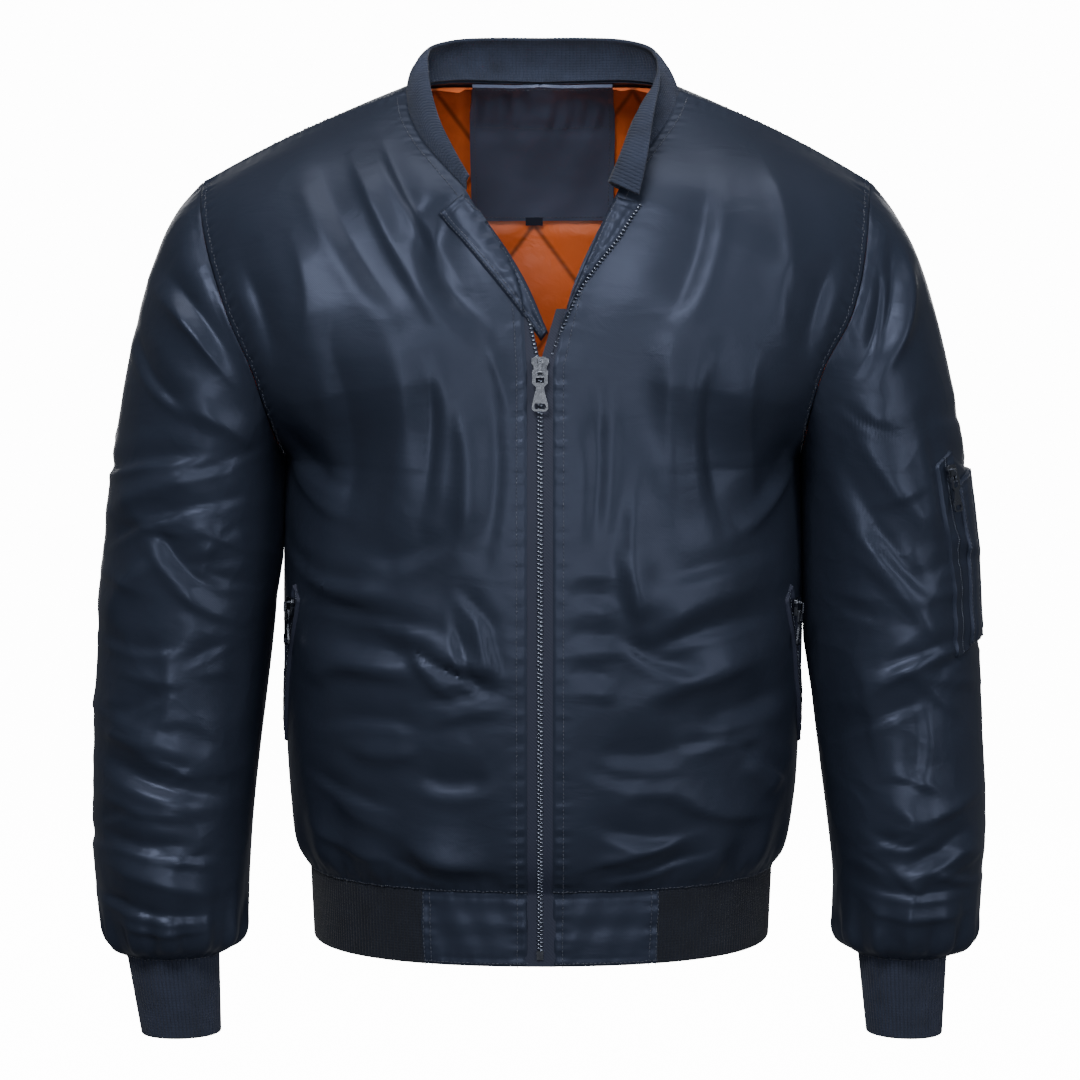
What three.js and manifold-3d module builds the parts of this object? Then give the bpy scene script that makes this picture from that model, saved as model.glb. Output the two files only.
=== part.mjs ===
// A padded nylon bomber jacket, filled out as if worn, in millimetres.
// +Z is up, -Y is the front and +X is the wearer's left. The origin is the middle of the neck
// opening, level with the neck ends of the shoulder seams, where a wearer's neck carries it.
import * as THREE from "three";
import { mergeVertices } from "three/addons/utils/BufferGeometryUtils.js";
import Module from "manifold-3d";

// Walls and gaps
const SHELL_WALL = 2.2; // nylon with its thin padding
const RIB_WALL = 3; // doubled rib knit
const LINING_WALL = 1.4;
const TAPE_WALL = 1.1;
const STRIP_WALL = 1.5; // folded nylon: flap, facings, pocket patch
const SEAM_GAP = 0.36; // between two pieces at a seam
const LAYER_GAP = 0.6; // between a piece and what lies on it
const QUILT_PUFF = 4.5; // how far the lining swells between its quilting lines
const QUILT_STEPS = 4; // grid steps from corner to corner of a quilting diamond

// The heights of the rib bands, and how far each narrows on the way down
const HEM_DROP = 57;
const HEM_TAPER = 2.5;
const CUFF_DROP = 64;
const CUFF_TAPER = 5;

// The grid: how many steps there are on each side of the armhole's lower end, and round a sleeve
const ROW_STEP = 2 / 3; // table rows for each step of the grid
const ARM_ROW = 6; // the row under the arm
const COLLAR_ROW = 10; // the row where the collar starts
const TOP_ROW = 14; // the shoulder seam
const SLEEVE_ROUND = 24;
const SLEEVE_RINGS = 19;
const COLUMNS = [0, 0.1, 0.2, 0.305, 0.42, 0.53, 0.64, 0.76, 0.88, 1];
const HEM_JOINT_COLUMN = 3; // where the nylon end of the hem band meets the rib
const COLLAR_STEPS = 4;

// The front edge of each front: up the zip, out along the open neck and round the neck seam.
const ZIP_EDGE = [
  { z: -616, y: -129, left: 10, right: 10 },
  { z: -592, y: -141, left: 10, right: 10 },
  { z: -550, y: -147, left: 10, right: 10 },
  { z: -488, y: -151, left: 10, right: 10 },
  { z: -420, y: -152, left: 10, right: 10 },
  { z: -348, y: -150, left: 10, right: 10 },
  { z: -292, y: -145, left: 10, right: 10 },
  { z: -247, y: -139, left: 10, right: 10 },
  { z: -207, y: -133, left: 10, right: 10 },
];
const OPEN_NECK = [
  { z: -207, y: -133, left: 10, right: 10 },
  { z: -142, y: -119, left: 18, right: 27 },
  { z: -72, y: -90, left: 58, right: 61 },
];
const FRONT_NECK = [
  { z: -72, y: -90, left: 58, right: 61 },
  { z: -51, y: -72, left: 77, right: 75 },
  { z: -33, y: -50, left: 92, right: 89 },
  { z: -14, y: -26, left: 102, right: 102 },
  { z: 5, y: 0, left: 106, right: 110 },
];

// The middle of the back, from the hem to the neck, then the neck seam round to the shoulder.
const MIDDLE_BACK = [
  { z: -616, y: 124, left: 0, right: 0 },
  { z: -592, y: 137, left: 0, right: 0 },
  { z: -545, y: 144, left: 0, right: 0 },
  { z: -468, y: 149, left: 0, right: 0 },
  { z: -388, y: 153, left: 0, right: 0 },
  { z: -310, y: 156, left: 0, right: 0 },
  { z: -240, y: 157, left: 0, right: 0 },
  { z: -174, y: 154, left: 0, right: 0 },
  { z: -110, y: 145, left: 0, right: 0 },
  { z: -47, y: 121, left: 0, right: 0 },
  { z: 17, y: 67, left: 0, right: 0 },
];
const BACK_NECK = [
  { z: 17, y: 67, left: 0, right: 0 },
  { z: 18, y: 62, left: 37, right: 38 },
  { z: 18, y: 48, left: 70, right: 72 },
  { z: 14, y: 26, left: 95, right: 98 },
  { z: 5, y: 0, left: 106, right: 110 },
];

// The side seam, then the front and the back half of the armhole up to the shoulder tip.
const SIDE_SEAM = [
  { z: -614, y: 8, left: 185, right: 187 },
  { z: -590, y: 10, left: 197, right: 199 },
  { z: -550, y: 12, left: 202, right: 206 },
  { z: -490, y: 12, left: 205, right: 209 },
  { z: -420, y: 12, left: 206, right: 211 },
  { z: -345, y: 12, left: 205.5, right: 210.5 },
  { z: -284, y: 12, left: 204.5, right: 209 },
];
const FRONT_ARMHOLE = [
  { z: -284, y: 12, left: 204.5, right: 209 },
  { z: -271, y: -38, left: 207, right: 208 },
  { z: -244, y: -75, left: 214, right: 211 },
  { z: -209, y: -91, left: 225, right: 221 },
  { z: -176, y: -88, left: 240, right: 239 },
  { z: -146, y: -76, left: 251, right: 249 },
  { z: -114, y: -59, left: 261, right: 255 },
  { z: -85, y: -34, left: 267, right: 259 },
  { z: -67, y: 2, left: 268, right: 263 },
];
const BACK_ARMHOLE = [
  { z: -284, y: 12, left: 204.5, right: 209 },
  { z: -264, y: 56, left: 208, right: 210 },
  { z: -228, y: 80, left: 216, right: 215 },
  { z: -192, y: 88, left: 227, right: 225 },
  { z: -160, y: 85, left: 240, right: 238 },
  { z: -130, y: 72, left: 252, right: 248 },
  { z: -102, y: 53, left: 261, right: 256 },
  { z: -80, y: 28, left: 267, right: 260 },
  { z: -67, y: 2, left: 268, right: 263 },
];

// How each row runs from its edge to its side, seen from above: the angles at which it leaves and
// arrives, in degrees from straight across, how far it holds them, and how far its middle is raised.
const FRONT_SHAPE = [
  { leave: 0, arrive: 88, hold: 0.46, turn: 0.42, lift: 0 },
  { leave: 0, arrive: 88, hold: 0.47, turn: 0.43, lift: 0 },
  { leave: 0, arrive: 88, hold: 0.47, turn: 0.43, lift: 0 },
  { leave: 0, arrive: 88, hold: 0.47, turn: 0.43, lift: 0 },
  { leave: 0, arrive: 88, hold: 0.47, turn: 0.43, lift: 0 },
  { leave: 0, arrive: 87, hold: 0.47, turn: 0.42, lift: 0 },
  { leave: 0, arrive: 82, hold: 0.46, turn: 0.42, lift: 0 },
  { leave: 0, arrive: 72, hold: 0.44, turn: 0.4, lift: 0 },
  { leave: -2, arrive: 64, hold: 0.43, turn: 0.38, lift: 0 },
  { leave: -6, arrive: 56, hold: 0.4, turn: 0.36, lift: 2 },
  { leave: -14, arrive: 48, hold: 0.38, turn: 0.34, lift: 5 },
  { leave: -22, arrive: 40, hold: 0.36, turn: 0.33, lift: 7 },
  { leave: -22, arrive: 30, hold: 0.34, turn: 0.33, lift: 8 },
  { leave: -12, arrive: 16, hold: 0.33, turn: 0.33, lift: 7 },
  { leave: 0, arrive: 0, hold: 0.33, turn: 0.33, lift: 6 },
];
const BACK_SHAPE = [
  { leave: 0, arrive: 88, hold: 0.46, turn: 0.42, lift: 0 },
  { leave: 0, arrive: 88, hold: 0.47, turn: 0.43, lift: 0 },
  { leave: 0, arrive: 88, hold: 0.47, turn: 0.43, lift: 0 },
  { leave: 0, arrive: 88, hold: 0.47, turn: 0.43, lift: 0 },
  { leave: 0, arrive: 88, hold: 0.47, turn: 0.43, lift: 0 },
  { leave: 0, arrive: 87, hold: 0.47, turn: 0.42, lift: 0 },
  { leave: 0, arrive: 82, hold: 0.46, turn: 0.42, lift: 4 },
  { leave: 0, arrive: 72, hold: 0.45, turn: 0.4, lift: 10 },
  { leave: -2, arrive: 64, hold: 0.44, turn: 0.38, lift: 16 },
  { leave: -8, arrive: 56, hold: 0.42, turn: 0.36, lift: 22 },
  { leave: -30, arrive: 46, hold: 0.4, turn: 0.35, lift: 26 },
  { leave: -28, arrive: 38, hold: 0.38, turn: 0.34, lift: 20 },
  { leave: -22, arrive: 28, hold: 0.35, turn: 0.33, lift: 14 },
  { leave: -10, arrive: 14, hold: 0.33, turn: 0.33, lift: 9 },
  { leave: 0, arrive: 0, hold: 0.33, turn: 0.33, lift: 6 },
];

// Sleeve sections from the armhole to the cuff seam. Each lies between a point of the outer line
// and a point of the inner one, and reaches depth to the front and to the back of its middle.
const SLEEVE = [
  { outZ: -67, outLeft: 268, outRight: 263, inZ: -284, inLeft: 204.5, inRight: 209, depth: 90, y: 0 },
  { outZ: -92, outLeft: 289, outRight: 282, inZ: -300, inLeft: 206.5, inRight: 211.5, depth: 88, y: -1 },
  { outZ: -130, outLeft: 306, outRight: 301, inZ: -318, inLeft: 208, inRight: 213, depth: 85, y: -3 },
  { outZ: -178, outLeft: 320, outRight: 316, inZ: -340, inLeft: 209, inRight: 214, depth: 83, y: -5 },
  { outZ: -230, outLeft: 331, outRight: 328, inZ: -366, inLeft: 209.5, inRight: 214.5, depth: 80, y: -6 },
  { outZ: -290, outLeft: 340, outRight: 338, inZ: -396, inLeft: 210, inRight: 215, depth: 78, y: -7 },
  { outZ: -350, outLeft: 347, outRight: 346, inZ: -430, inLeft: 213, inRight: 216.5, depth: 76, y: -8 },
  { outZ: -420, outLeft: 352, outRight: 350, inZ: -472, inLeft: 218, inRight: 219, depth: 74, y: -10 },
  { outZ: -490, outLeft: 356, outRight: 353, inZ: -520, inLeft: 224, inRight: 223, depth: 72, y: -13 },
  { outZ: -560, outLeft: 357, outRight: 356, inZ: -568, inLeft: 229, inRight: 229, depth: 70, y: -17 },
  { outZ: -612, outLeft: 356, outRight: 354, inZ: -612, inLeft: 232, inRight: 234, depth: 67, y: -20 },
  { outZ: -648, outLeft: 352, outRight: 351, inZ: -645, inLeft: 234, inRight: 235, depth: 62, y: -23 },
  { outZ: -671, outLeft: 345, outRight: 346, inZ: -668, inLeft: 238, inRight: 238, depth: 54, y: -25 },
  { outZ: -682, outLeft: 330, outRight: 325, inZ: -681, inLeft: 257, inRight: 255, depth: 35, y: -26 },
];
const SLEEVE_END = SLEEVE.length - 1;
const CAP_BLEND = 2.2; // sections over which the sleeve leaves the armhole's own outline
const CUFF_LEAN = { left: 6, right: -2 }; // how far each cuff leans in towards its lower edge

// The collar, from the front end of the seam round to the middle of the back: the points that its
// middle and its free edge pass through. The wearer's left end is rolled outward with the open front.
const COLLAR_RIGHT_SIDE = [
  { row: 10, midX: 57.5, midY: -89, midZ: -66, edgeX: 55, edgeY: -89, edgeZ: -62 },
  { row: 11, midX: 74, midY: -72, midZ: -42, edgeX: 66, edgeY: -74, edgeZ: -42 },
  { row: 12, midX: 89, midY: -49, midZ: -19, edgeX: 78, edgeY: -52, edgeZ: -18 },
  { row: 13, midX: 98, midY: -24, midZ: 6, edgeX: 86, edgeY: -24, edgeZ: 10 },
  { row: 14, midX: 101, midY: 3, midZ: 24, edgeX: 89, edgeY: 6, edgeZ: 33 },
];
const COLLAR_LEFT_SIDE = [
  { row: 10, midX: 56, midY: -99, midZ: -69, edgeX: 76, edgeY: -105, edgeZ: -78 },
  { row: 11, midX: 65, midY: -86, midZ: -45, edgeX: 82, edgeY: -96, edgeZ: -52 },
  { row: 12, midX: 77, midY: -58, midZ: -16, edgeX: 88, edgeY: -67, edgeZ: -17 },
  { row: 13, midX: 93, midY: -25, midZ: 6, edgeX: 94, edgeY: -26, edgeZ: 11 },
  { row: 14, midX: 103, midY: 3, midZ: 22, edgeX: 93, edgeY: 6, edgeZ: 33 },
];
const COLLAR_BACK = [
  { row: 10, mid: 0, midY: 70, midZ: 36, edge: 0, edgeY: 62, edgeZ: 50 },
  { row: 11, mid: 38, midY: 65, midZ: 37, edge: 37, edgeY: 57, edgeZ: 50 },
  { row: 12, mid: 72, midY: 50, midZ: 36, edge: 66, edgeY: 44, edgeZ: 48 },
  { row: 13, mid: 95, midY: 28, midZ: 31, edge: 86, edgeY: 26, edgeZ: 42 },
  { row: 14, mid: 102, midY: 3, midZ: 23, edge: 91, edgeY: 6, edgeZ: 33 },
];

// The largest folds: soft ridges (height above zero) and troughs through three places [x, z].
const FOLDS = [
  { on: "front", path: [[-57, -70], [-78, -127], [-34, -176]], width: 17, height: -7 },
  { on: "front", path: [[-186, -356], [-155, -383], [-108, -378]], width: 17, height: 5 },
  { on: "front", path: [[-165, -418], [-119, -425], [-69, -424]], width: 16, height: -5 },
  { on: "front", path: [[-123, -405], [-77, -429], [-24, -444]], width: 17, height: 7 },
  { on: "front", path: [[-180, -462], [-150, -440], [-84, -452]], width: 18, height: 6 },
  { on: "front", path: [[-162, -542], [-139, -556], [-108, -568]], width: 18, height: 4 },
  { on: "front", path: [[-104, -573], [-73, -590], [-24, -594]], width: 18, height: 5 },
  { on: "front", path: [[88, -410], [123, -387], [184, -375]], width: 22, height: 8 },
  { on: "front", path: [[61, -346], [70, -379], [77, -406]], width: 16, height: 5 },
  { on: "front", path: [[77, -464], [123, -448], [169, -436]], width: 19, height: 6 },
  { on: "front", path: [[115, -482], [158, -474], [190, -462]], width: 18, height: -6 },
  { on: "front", path: [[154, -514], [172, -530], [188, -545]], width: 18, height: 5 },
  { on: "back", path: [[-150, -330], [-70, -366], [20, -352]], width: 22, height: 6 },
  { on: "back", path: [[150, -300], [90, -352], [10, -402]], width: 22, height: -5 },
  { on: "back", path: [[-160, -430], [-60, -452], [40, -440]], width: 22, height: 6 },
  { on: "back", path: [[160, -470], [80, -500], [-20, -508]], width: 22, height: 6 },
  { on: "back", path: [[-140, -540], [-60, -560], [30, -566]], width: 20, height: -5 },
  { on: "back", path: [[-150, -190], [-120, -250], [-110, -300]], width: 24, height: -6 },
  { on: "back", path: [[152, -180], [126, -240], [112, -290]], width: 24, height: -6 },
  { on: "rightArm", path: [[-294, -138], [-262, -170], [-235, -205]], width: 17, height: -7 },
  { on: "rightArm", path: [[-291, -232], [-242, -258], [-221, -276]], width: 17, height: 7 },
  { on: "rightArm", path: [[-336, -326], [-304, -307], [-255, -293]], width: 16, height: 6 },
  { on: "rightArm", path: [[-297, -334], [-281, -362], [-250, -389]], width: 16, height: -6 },
  { on: "rightArm", path: [[-299, -363], [-325, -385], [-342, -420]], width: 16, height: 6 },
  { on: "rightArm", path: [[-346, -515], [-299, -537], [-232, -549]], width: 16, height: -7 },
  { on: "rightArm", path: [[-349, -599], [-295, -616], [-240, -629]], width: 16, height: 6 },
  { on: "leftArm", path: [[271, -101], [274, -159], [254, -205]], width: 17, height: -6 },
  { on: "leftArm", path: [[232, -276], [256, -326], [291, -371]], width: 17, height: -7 },
  { on: "leftArm", path: [[238, -352], [278, -384], [317, -436]], width: 16, height: 6 },
  { on: "leftArm", path: [[317, -440], [270, -456], [236, -492]], width: 17, height: 7 },
  { on: "leftArm", path: [[258, -548], [291, -567], [262, -589]], width: 16, height: 6 },
  { on: "leftArm", path: [[342, -572], [315, -587], [283, -603]], width: 16, height: -5 },
];

// Gathers where the cloth is drawn into the rib: one wave for each two columns of the grid.
const HEM_GATHER = { height: 2.6, row: 0.8, reach: 0.9 };
const CUFF_GATHER = { height: 3, section: 12, reach: 1.1 };
// The share of a half's width, and the rows, over which folds fade out towards its seams
const FOLD_FADE = { edge: 1 / 9, side: 1 / 6, foot: 1, top: 2 };
// The same on a sleeve: sections at its ends, and the turn round it beside the inner line
const ARM_FOLD_FADE = { ends: 1.5, inner: 1 / 2.6 };
const ELBOW_FOLDS = { height: 4, turn: 2.1 }; // waves behind the arm, and their turn for each section

const DEGREE = Math.PI / 180;
const HANDS = { left: -1, right: 1 }; // as the viewer in front sees them
const ARM_NAME = { left: "rightArm", right: "leftArm" }; // the wearer's own right and left

const material = (color, roughness, metalness = 0) =>
  new THREE.MeshStandardMaterial({ color, roughness, metalness });
const NYLON = material(0x373e4d, 0.42);
const RIB_KNIT = material(0x20242e, 0.95);
const LINING = material(0xc36244, 0.5);
const TAPE = material(0x373e4e, 0.85);
const NICKEL = material(0xc4c6c9, 0.25, 1);

// One column of a table at a fractional row, on a smooth curve through its rows.
function columnAt(table, column, row) {
  const last = table.length - 1;
  const value = (i) => {
    if (i < 0) return 2 * table[0][column] - table[1][column];
    if (i > last) return 2 * table[last][column] - table[last - 1][column];
    return table[i][column];
  };
  const k = Math.min(Math.max(Math.floor(row), 0), last - 1);
  const t = row - k;
  const [a, b, c, d] = [value(k - 1), value(k), value(k + 1), value(k + 2)];
  return (
    b +
    0.5 * t * (c - a + t * (2 * a - 5 * b + 4 * c - d + t * (3 * b - a - 3 * c + d)))
  );
}

// Tables end to end as one curve: each starts on the last row of the one before, with a corner.
const joined = (...tables) => (column, row) => {
  let table = 0;
  let first = 0;
  while (table < tables.length - 1 && row > first + tables[table].length - 1) {
    first += tables[table].length - 1;
    table++;
  }
  return columnAt(tables[table], column, row - first);
};
const FRONT_EDGE = joined(ZIP_EDGE, OPEN_NECK, FRONT_NECK);
const BACK_EDGE = joined(MIDDLE_BACK, BACK_NECK);
const FRONT_SIDE = joined(SIDE_SEAM, FRONT_ARMHOLE);
const BACK_SIDE = joined(SIDE_SEAM, BACK_ARMHOLE);

const bezier = (a, b, c, d, t) => {
  const s = 1 - t;
  return s * s * s * a + 3 * s * s * t * b + 3 * s * t * t * c + t * t * t * d;
};

// How far a place [x, z] stands out on one face of the cloth, from all the folds listed for it.
function foldHeight(on, x, z) {
  let height = 0;
  for (const fold of FOLDS) {
    if (fold.on !== on) continue;
    let nearest = Infinity;
    for (let i = 0; i < fold.path.length - 1; i++) {
      const [ax, az] = fold.path[i];
      const [bx, bz] = fold.path[i + 1];
      const along = THREE.MathUtils.clamp(
        ((x - ax) * (bx - ax) + (z - az) * (bz - az)) / ((bx - ax) ** 2 + (bz - az) ** 2),
        0,
        1,
      );
      const away = Math.hypot(x - ax - along * (bx - ax), z - az - along * (bz - az));
      nearest = Math.min(nearest, away);
    }
    height += fold.height * Math.exp(-((nearest / fold.width) ** 2));
  }
  return height;
}

// A smooth surface in two parameters with its relief: at(u, v) is a point of it and normalAt its
// outward direction. plain is the surface without folds, and relief their height at a place.
function surface(plain, relief, outwardSign) {
  const STEP = 0.004;
  const difference = (of, u, v, du, dv) => of(u + du, v + dv).sub(of(u - du, v - dv));
  const normalOf = (of) => (u, v) =>
    difference(of, u, v, STEP, 0)
      .cross(difference(of, u, v, 0, STEP * TOP_ROW))
      .multiplyScalar(outwardSign)
      .normalize();
  const plainNormal = normalOf(plain);
  const at = (u, v) => {
    const point = plain(u, v);
    return point.addScaledVector(plainNormal(u, v), relief(u, v, point));
  };
  return { at, normalAt: normalOf(at) };
}

// Half of the front or of the back: u runs from the middle to the side, and row up from the hem.
function bodyHalf(hand, edge, side, shape, facing) {
  const sign = HANDS[hand];
  const plain = (u, row) => {
    const from = new THREE.Vector2(edge(hand, row), edge("y", row));
    const to = new THREE.Vector2(side(hand, row), side("y", row));
    const span = from.distanceTo(to);
    const leave = DEGREE * columnAt(shape, "leave", row);
    const arrive = DEGREE * columnAt(shape, "arrive", row);
    const hold = span * columnAt(shape, "hold", row);
    const turn = span * columnAt(shape, "turn", row);
    const x = bezier(
      from.x,
      from.x + hold * Math.cos(leave),
      to.x - turn * Math.cos(arrive),
      to.x,
      u,
    );
    const y = bezier(
      from.y,
      from.y - facing * hold * Math.sin(leave),
      to.y + facing * turn * Math.sin(arrive),
      to.y,
      u,
    );
    const lift = columnAt(shape, "lift", row) * 4 * u * (1 - u);
    const z = THREE.MathUtils.lerp(edge("z", row), side("z", row), u) + lift;
    return new THREE.Vector3(sign * x, y, z);
  };
  // Folds fade out at the seams, which hold the cloth still.
  const relief = (u, row, point) => {
    const fade = Math.min(
      1,
      u / FOLD_FADE.edge,
      (1 - u) / FOLD_FADE.side,
      row / FOLD_FADE.foot,
      (TOP_ROW - row) / FOLD_FADE.top,
    );
    if (fade <= 0) return 0;
    const wave =
      Math.cos(Math.PI * (COLUMNS.length - 1) * u) *
      Math.exp(-(((row - HEM_GATHER.row) / HEM_GATHER.reach) ** 2));
    const fold = foldHeight(facing < 0 ? "front" : "back", point.x, point.z);
    return fade * (fold + HEM_GATHER.height * wave);
  };
  return surface(plain, relief, -facing * sign);
}

// The place [u, row] of a body half that stands over a given x and z, found from a place near it.
function placeOver(half, x, z, [startU, startRow]) {
  const STEP = 0.01;
  const STEPS = 30;
  const FURTHEST = [0.1, 1]; // in one step
  let u = startU;
  let row = startRow;
  for (let i = 0; i < STEPS; i++) {
    const p = half.at(u, row);
    const du = half.at(u + STEP, row).sub(p).divideScalar(STEP);
    const dr = half.at(u, row + STEP).sub(p).divideScalar(STEP);
    const det = du.x * dr.z - dr.x * du.z;
    const moveU = ((x - p.x) * dr.z - dr.x * (z - p.z)) / det;
    const moveRow = (du.x * (z - p.z) - (x - p.x) * du.z) / det;
    u += THREE.MathUtils.clamp(moveU, -FURTHEST[0], FURTHEST[0]);
    row += THREE.MathUtils.clamp(moveRow, -FURTHEST[1], FURTHEST[1]);
  }
  return [u, row];
}

// A sleeve: round runs from the outer line (0) over the front (0.25) to the inner line (0.5) and
// back over the rear, and section counts the rows of SLEEVE.
function sleeve(hand) {
  const sign = HANDS[hand];
  const outX = hand === "left" ? "outLeft" : "outRight";
  const inX = hand === "left" ? "inLeft" : "inRight";
  const ellipse = (round, section) => {
    const at = (column) => columnAt(SLEEVE, column, section);
    const angle = 2 * Math.PI * round;
    const across = 0.5 * Math.cos(angle);
    return new THREE.Vector3(
      (at(outX) + at(inX)) / 2 + across * (at(outX) - at(inX)),
      at("y") - Math.sin(angle) * at("depth"),
      (at("outZ") + at("inZ")) / 2 + across * (at("outZ") - at("inZ")),
    );
  };
  const armhole = (round) => {
    const front = round <= 0.5;
    const row = TOP_ROW - (TOP_ROW - ARM_ROW) * (front ? 2 * round : 2 - 2 * round);
    const side = front ? FRONT_SIDE : BACK_SIDE;
    return new THREE.Vector3(side(hand, row), side("y", row), side("z", row));
  };
  const plain = (roundAny, section) => {
    const round = roundAny - Math.floor(roundAny);
    const point = ellipse(round, section);
    const blend = Math.max(0, 1 - section / CAP_BLEND) ** 2;
    point.addScaledVector(armhole(round).sub(ellipse(round, 0)), blend);
    point.x *= sign;
    return point;
  };
  // The inner line lies beside the body, so its folds are left out there.
  const relief = (round, section, point) => {
    const beside = Math.min(1, Math.abs(round - 0.5) / ARM_FOLD_FADE.inner);
    const outer = 0.5 - 0.5 * Math.cos(Math.PI * beside);
    const fade = Math.min(1, section / ARM_FOLD_FADE.ends, (SLEEVE_END - section) / ARM_FOLD_FADE.ends);
    if (fade <= 0) return 0;
    const wave =
      Math.cos(Math.PI * SLEEVE_ROUND * round) *
      Math.exp(-(((section - CUFF_GATHER.section) / CUFF_GATHER.reach) ** 2));
    const front = Math.sin(2 * Math.PI * round) > 0;
    const fold = front ? foldHeight(ARM_NAME[hand], point.x, point.z) : 0;
    const behind = Math.max(0, -Math.sin(2 * Math.PI * round));
    const elbow = ELBOW_FOLDS.height * Math.sin(section * ELBOW_FOLDS.turn) * behind;
    return fade * (outer * (fold + elbow) + CUFF_GATHER.height * wave);
  };
  return surface(plain, relief, -sign);
}

const halves = {};
const sleeves = {};
for (const hand of ["left", "right"]) {
  halves[hand] = {
    front: bodyHalf(hand, FRONT_EDGE, FRONT_SIDE, FRONT_SHAPE, -1),
    back: bodyHalf(hand, BACK_EDGE, BACK_SIDE, BACK_SHAPE, 1),
  };
  sleeves[hand] = sleeve(hand);
}

// All the cloth that is sewn edge to edge is one net of shared points, so that two pieces that
// meet have the same seam line and the same outward direction along it.
const net = { points: [], faces: [], normals: [] };
const MERGE = 0.01;

function netPoint(p) {
  const found = net.points.findIndex((q) => q.distanceToSquared(p) < MERGE * MERGE);
  return found >= 0 ? found : net.points.push(p.clone()) - 1;
}

// Adds a grid of points to the net as faces of one piece. outward(p) points away from the hollow.
function addGrid(piece, grid, outward) {
  const ids = grid.map((line) => line.map(netPoint));
  const faces = [];
  for (let i = 0; i < ids.length - 1; i++)
    for (let j = 0; j < ids[i].length - 1; j++) {
      const [a, b, c, d] = [ids[i][j], ids[i][j + 1], ids[i + 1][j + 1], ids[i + 1][j]];
      faces.push([a, b, c], [a, c, d]);
    }
  const real = faces.filter(([a, b, c]) => a !== b && b !== c && a !== c);
  let agreement = 0;
  for (const face of real) {
    const [a, b, c] = face.map((id) => net.points[id]);
    const normal = b.clone().sub(a).cross(c.clone().sub(a));
    agreement += normal.dot(outward(a.clone().add(b).add(c).divideScalar(3)));
  }
  for (const [a, b, c] of real) net.faces.push({ piece, ids: agreement < 0 ? [a, c, b] : [a, b, c] });
}

// A closed wall over an open surface of points and faces, from outer to inner beneath it.
function wallBetween(outer, inner, faces) {
  const count = outer.length;
  const edges = new Map();
  for (const [a, b, c] of faces)
    for (const [p, q] of [[a, b], [b, c], [c, a]]) edges.set(p + "," + q, [p, q]);
  const index = [];
  for (const [a, b, c] of faces) index.push(a, b, c, count + a, count + c, count + b);
  for (const [p, q] of edges.values())
    if (!edges.has(q + "," + p)) index.push(p, count + p, count + q, p, count + q, q);
  const positions = [...outer, ...inner].flatMap((p) => [p.x, p.y, p.z]);
  const geometry = new THREE.BufferGeometry();
  geometry.setAttribute("position", new THREE.Float32BufferAttribute(positions, 3));
  geometry.setIndex(index);
  geometry.computeVertexNormals();
  return geometry;
}

function findNormals() {
  net.normals = net.points.map(() => new THREE.Vector3());
  for (const { ids } of net.faces) {
    const [a, b, c] = ids.map((id) => net.points[id]);
    const area = b.clone().sub(a).cross(c.clone().sub(a));
    for (const id of ids) net.normals[id].add(area);
  }
  for (const normal of net.normals) normal.normalize();
}

// One piece of the net as a wall: its edges are drawn in by half a seam gap.
const SHARPEST_CORNER = 0.35; // keeps the draw-in at a sharp corner short
function sewnPiece(piece, thickness, recess = 0) {
  const own = net.faces.filter((face) => face.piece === piece).map((face) => face.ids);
  const used = [...new Set(own.flat())];
  const local = new Map(used.map((id, i) => [id, i]));
  const faces = own.map((ids) => ids.map((id) => local.get(id)));
  const points = used.map((id) => net.points[id].clone());
  const normals = used.map((id) => net.normals[id]);
  const directed = new Set(faces.flatMap(([a, b, c]) => [a + "," + b, b + "," + c, c + "," + a]));
  const inward = points.map(() => []);
  for (const edge of directed) {
    const [a, b] = edge.split(",").map(Number);
    if (directed.has(b + "," + a)) continue;
    const along = points[b].clone().sub(points[a]);
    for (const id of [a, b]) inward[id].push(normals[id].clone().cross(along).normalize());
  }
  const outer = points.map((p, i) => {
    const moved = p.clone().addScaledVector(normals[i], -recess);
    if (!inward[i].length) return moved;
    const [d, e] = inward[i];
    const reach = Math.max(1 + d.dot(e), SHARPEST_CORNER);
    return moved.addScaledVector(d.clone().add(e), SEAM_GAP / 2 / reach);
  });
  const inner = outer.map((p, i) => p.clone().addScaledVector(normals[i], -thickness));
  return wallBetween(outer, inner, faces);
}

// Grids of places {p, n, raise} as one open surface, joined where their points meet.
function joinGrids(grids) {
  const places = [];
  const faces = [];
  const idOf = (place) => {
    const found = places.findIndex((q) => q.p.distanceToSquared(place.p) < MERGE * MERGE);
    return found >= 0 ? found : places.push(place) - 1;
  };
  for (const grid of grids) {
    const ids = grid.map((line) => line.map(idOf));
    for (let i = 0; i < ids.length - 1; i++)
      for (let j = 0; j < ids[i].length - 1; j++) {
        const [a, b, c, d] = [ids[i][j], ids[i][j + 1], ids[i + 1][j + 1], ids[i + 1][j]];
        const [p, q, r] = [a, b, c].map((id) => places[id].p);
        const turned = q.clone().sub(p).cross(r.clone().sub(p)).dot(places[a].n) < 0;
        faces.push(turned ? [a, c, b] : [a, b, c], turned ? [a, d, c] : [a, c, d]);
      }
  }
  return { places, faces };
}

// A piece that lies on the cloth, or beneath it where lift is negative. The side that shows swells
// by each place's raise: the upper side on the cloth, and the lower one beneath it.
function laidPiece(grids, lift, thickness) {
  const { places, faces } = joinGrids(grids);
  const moved = (by) => places.map(({ p, n, raise = 0 }) => p.clone().addScaledVector(n, by(raise)));
  const upper = moved((raise) => lift + (lift > 0 ? raise : 0));
  const lower = moved((raise) => lift - thickness - (lift > 0 ? 0 : raise));
  return wallBetween(upper, lower, faces);
}

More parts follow.
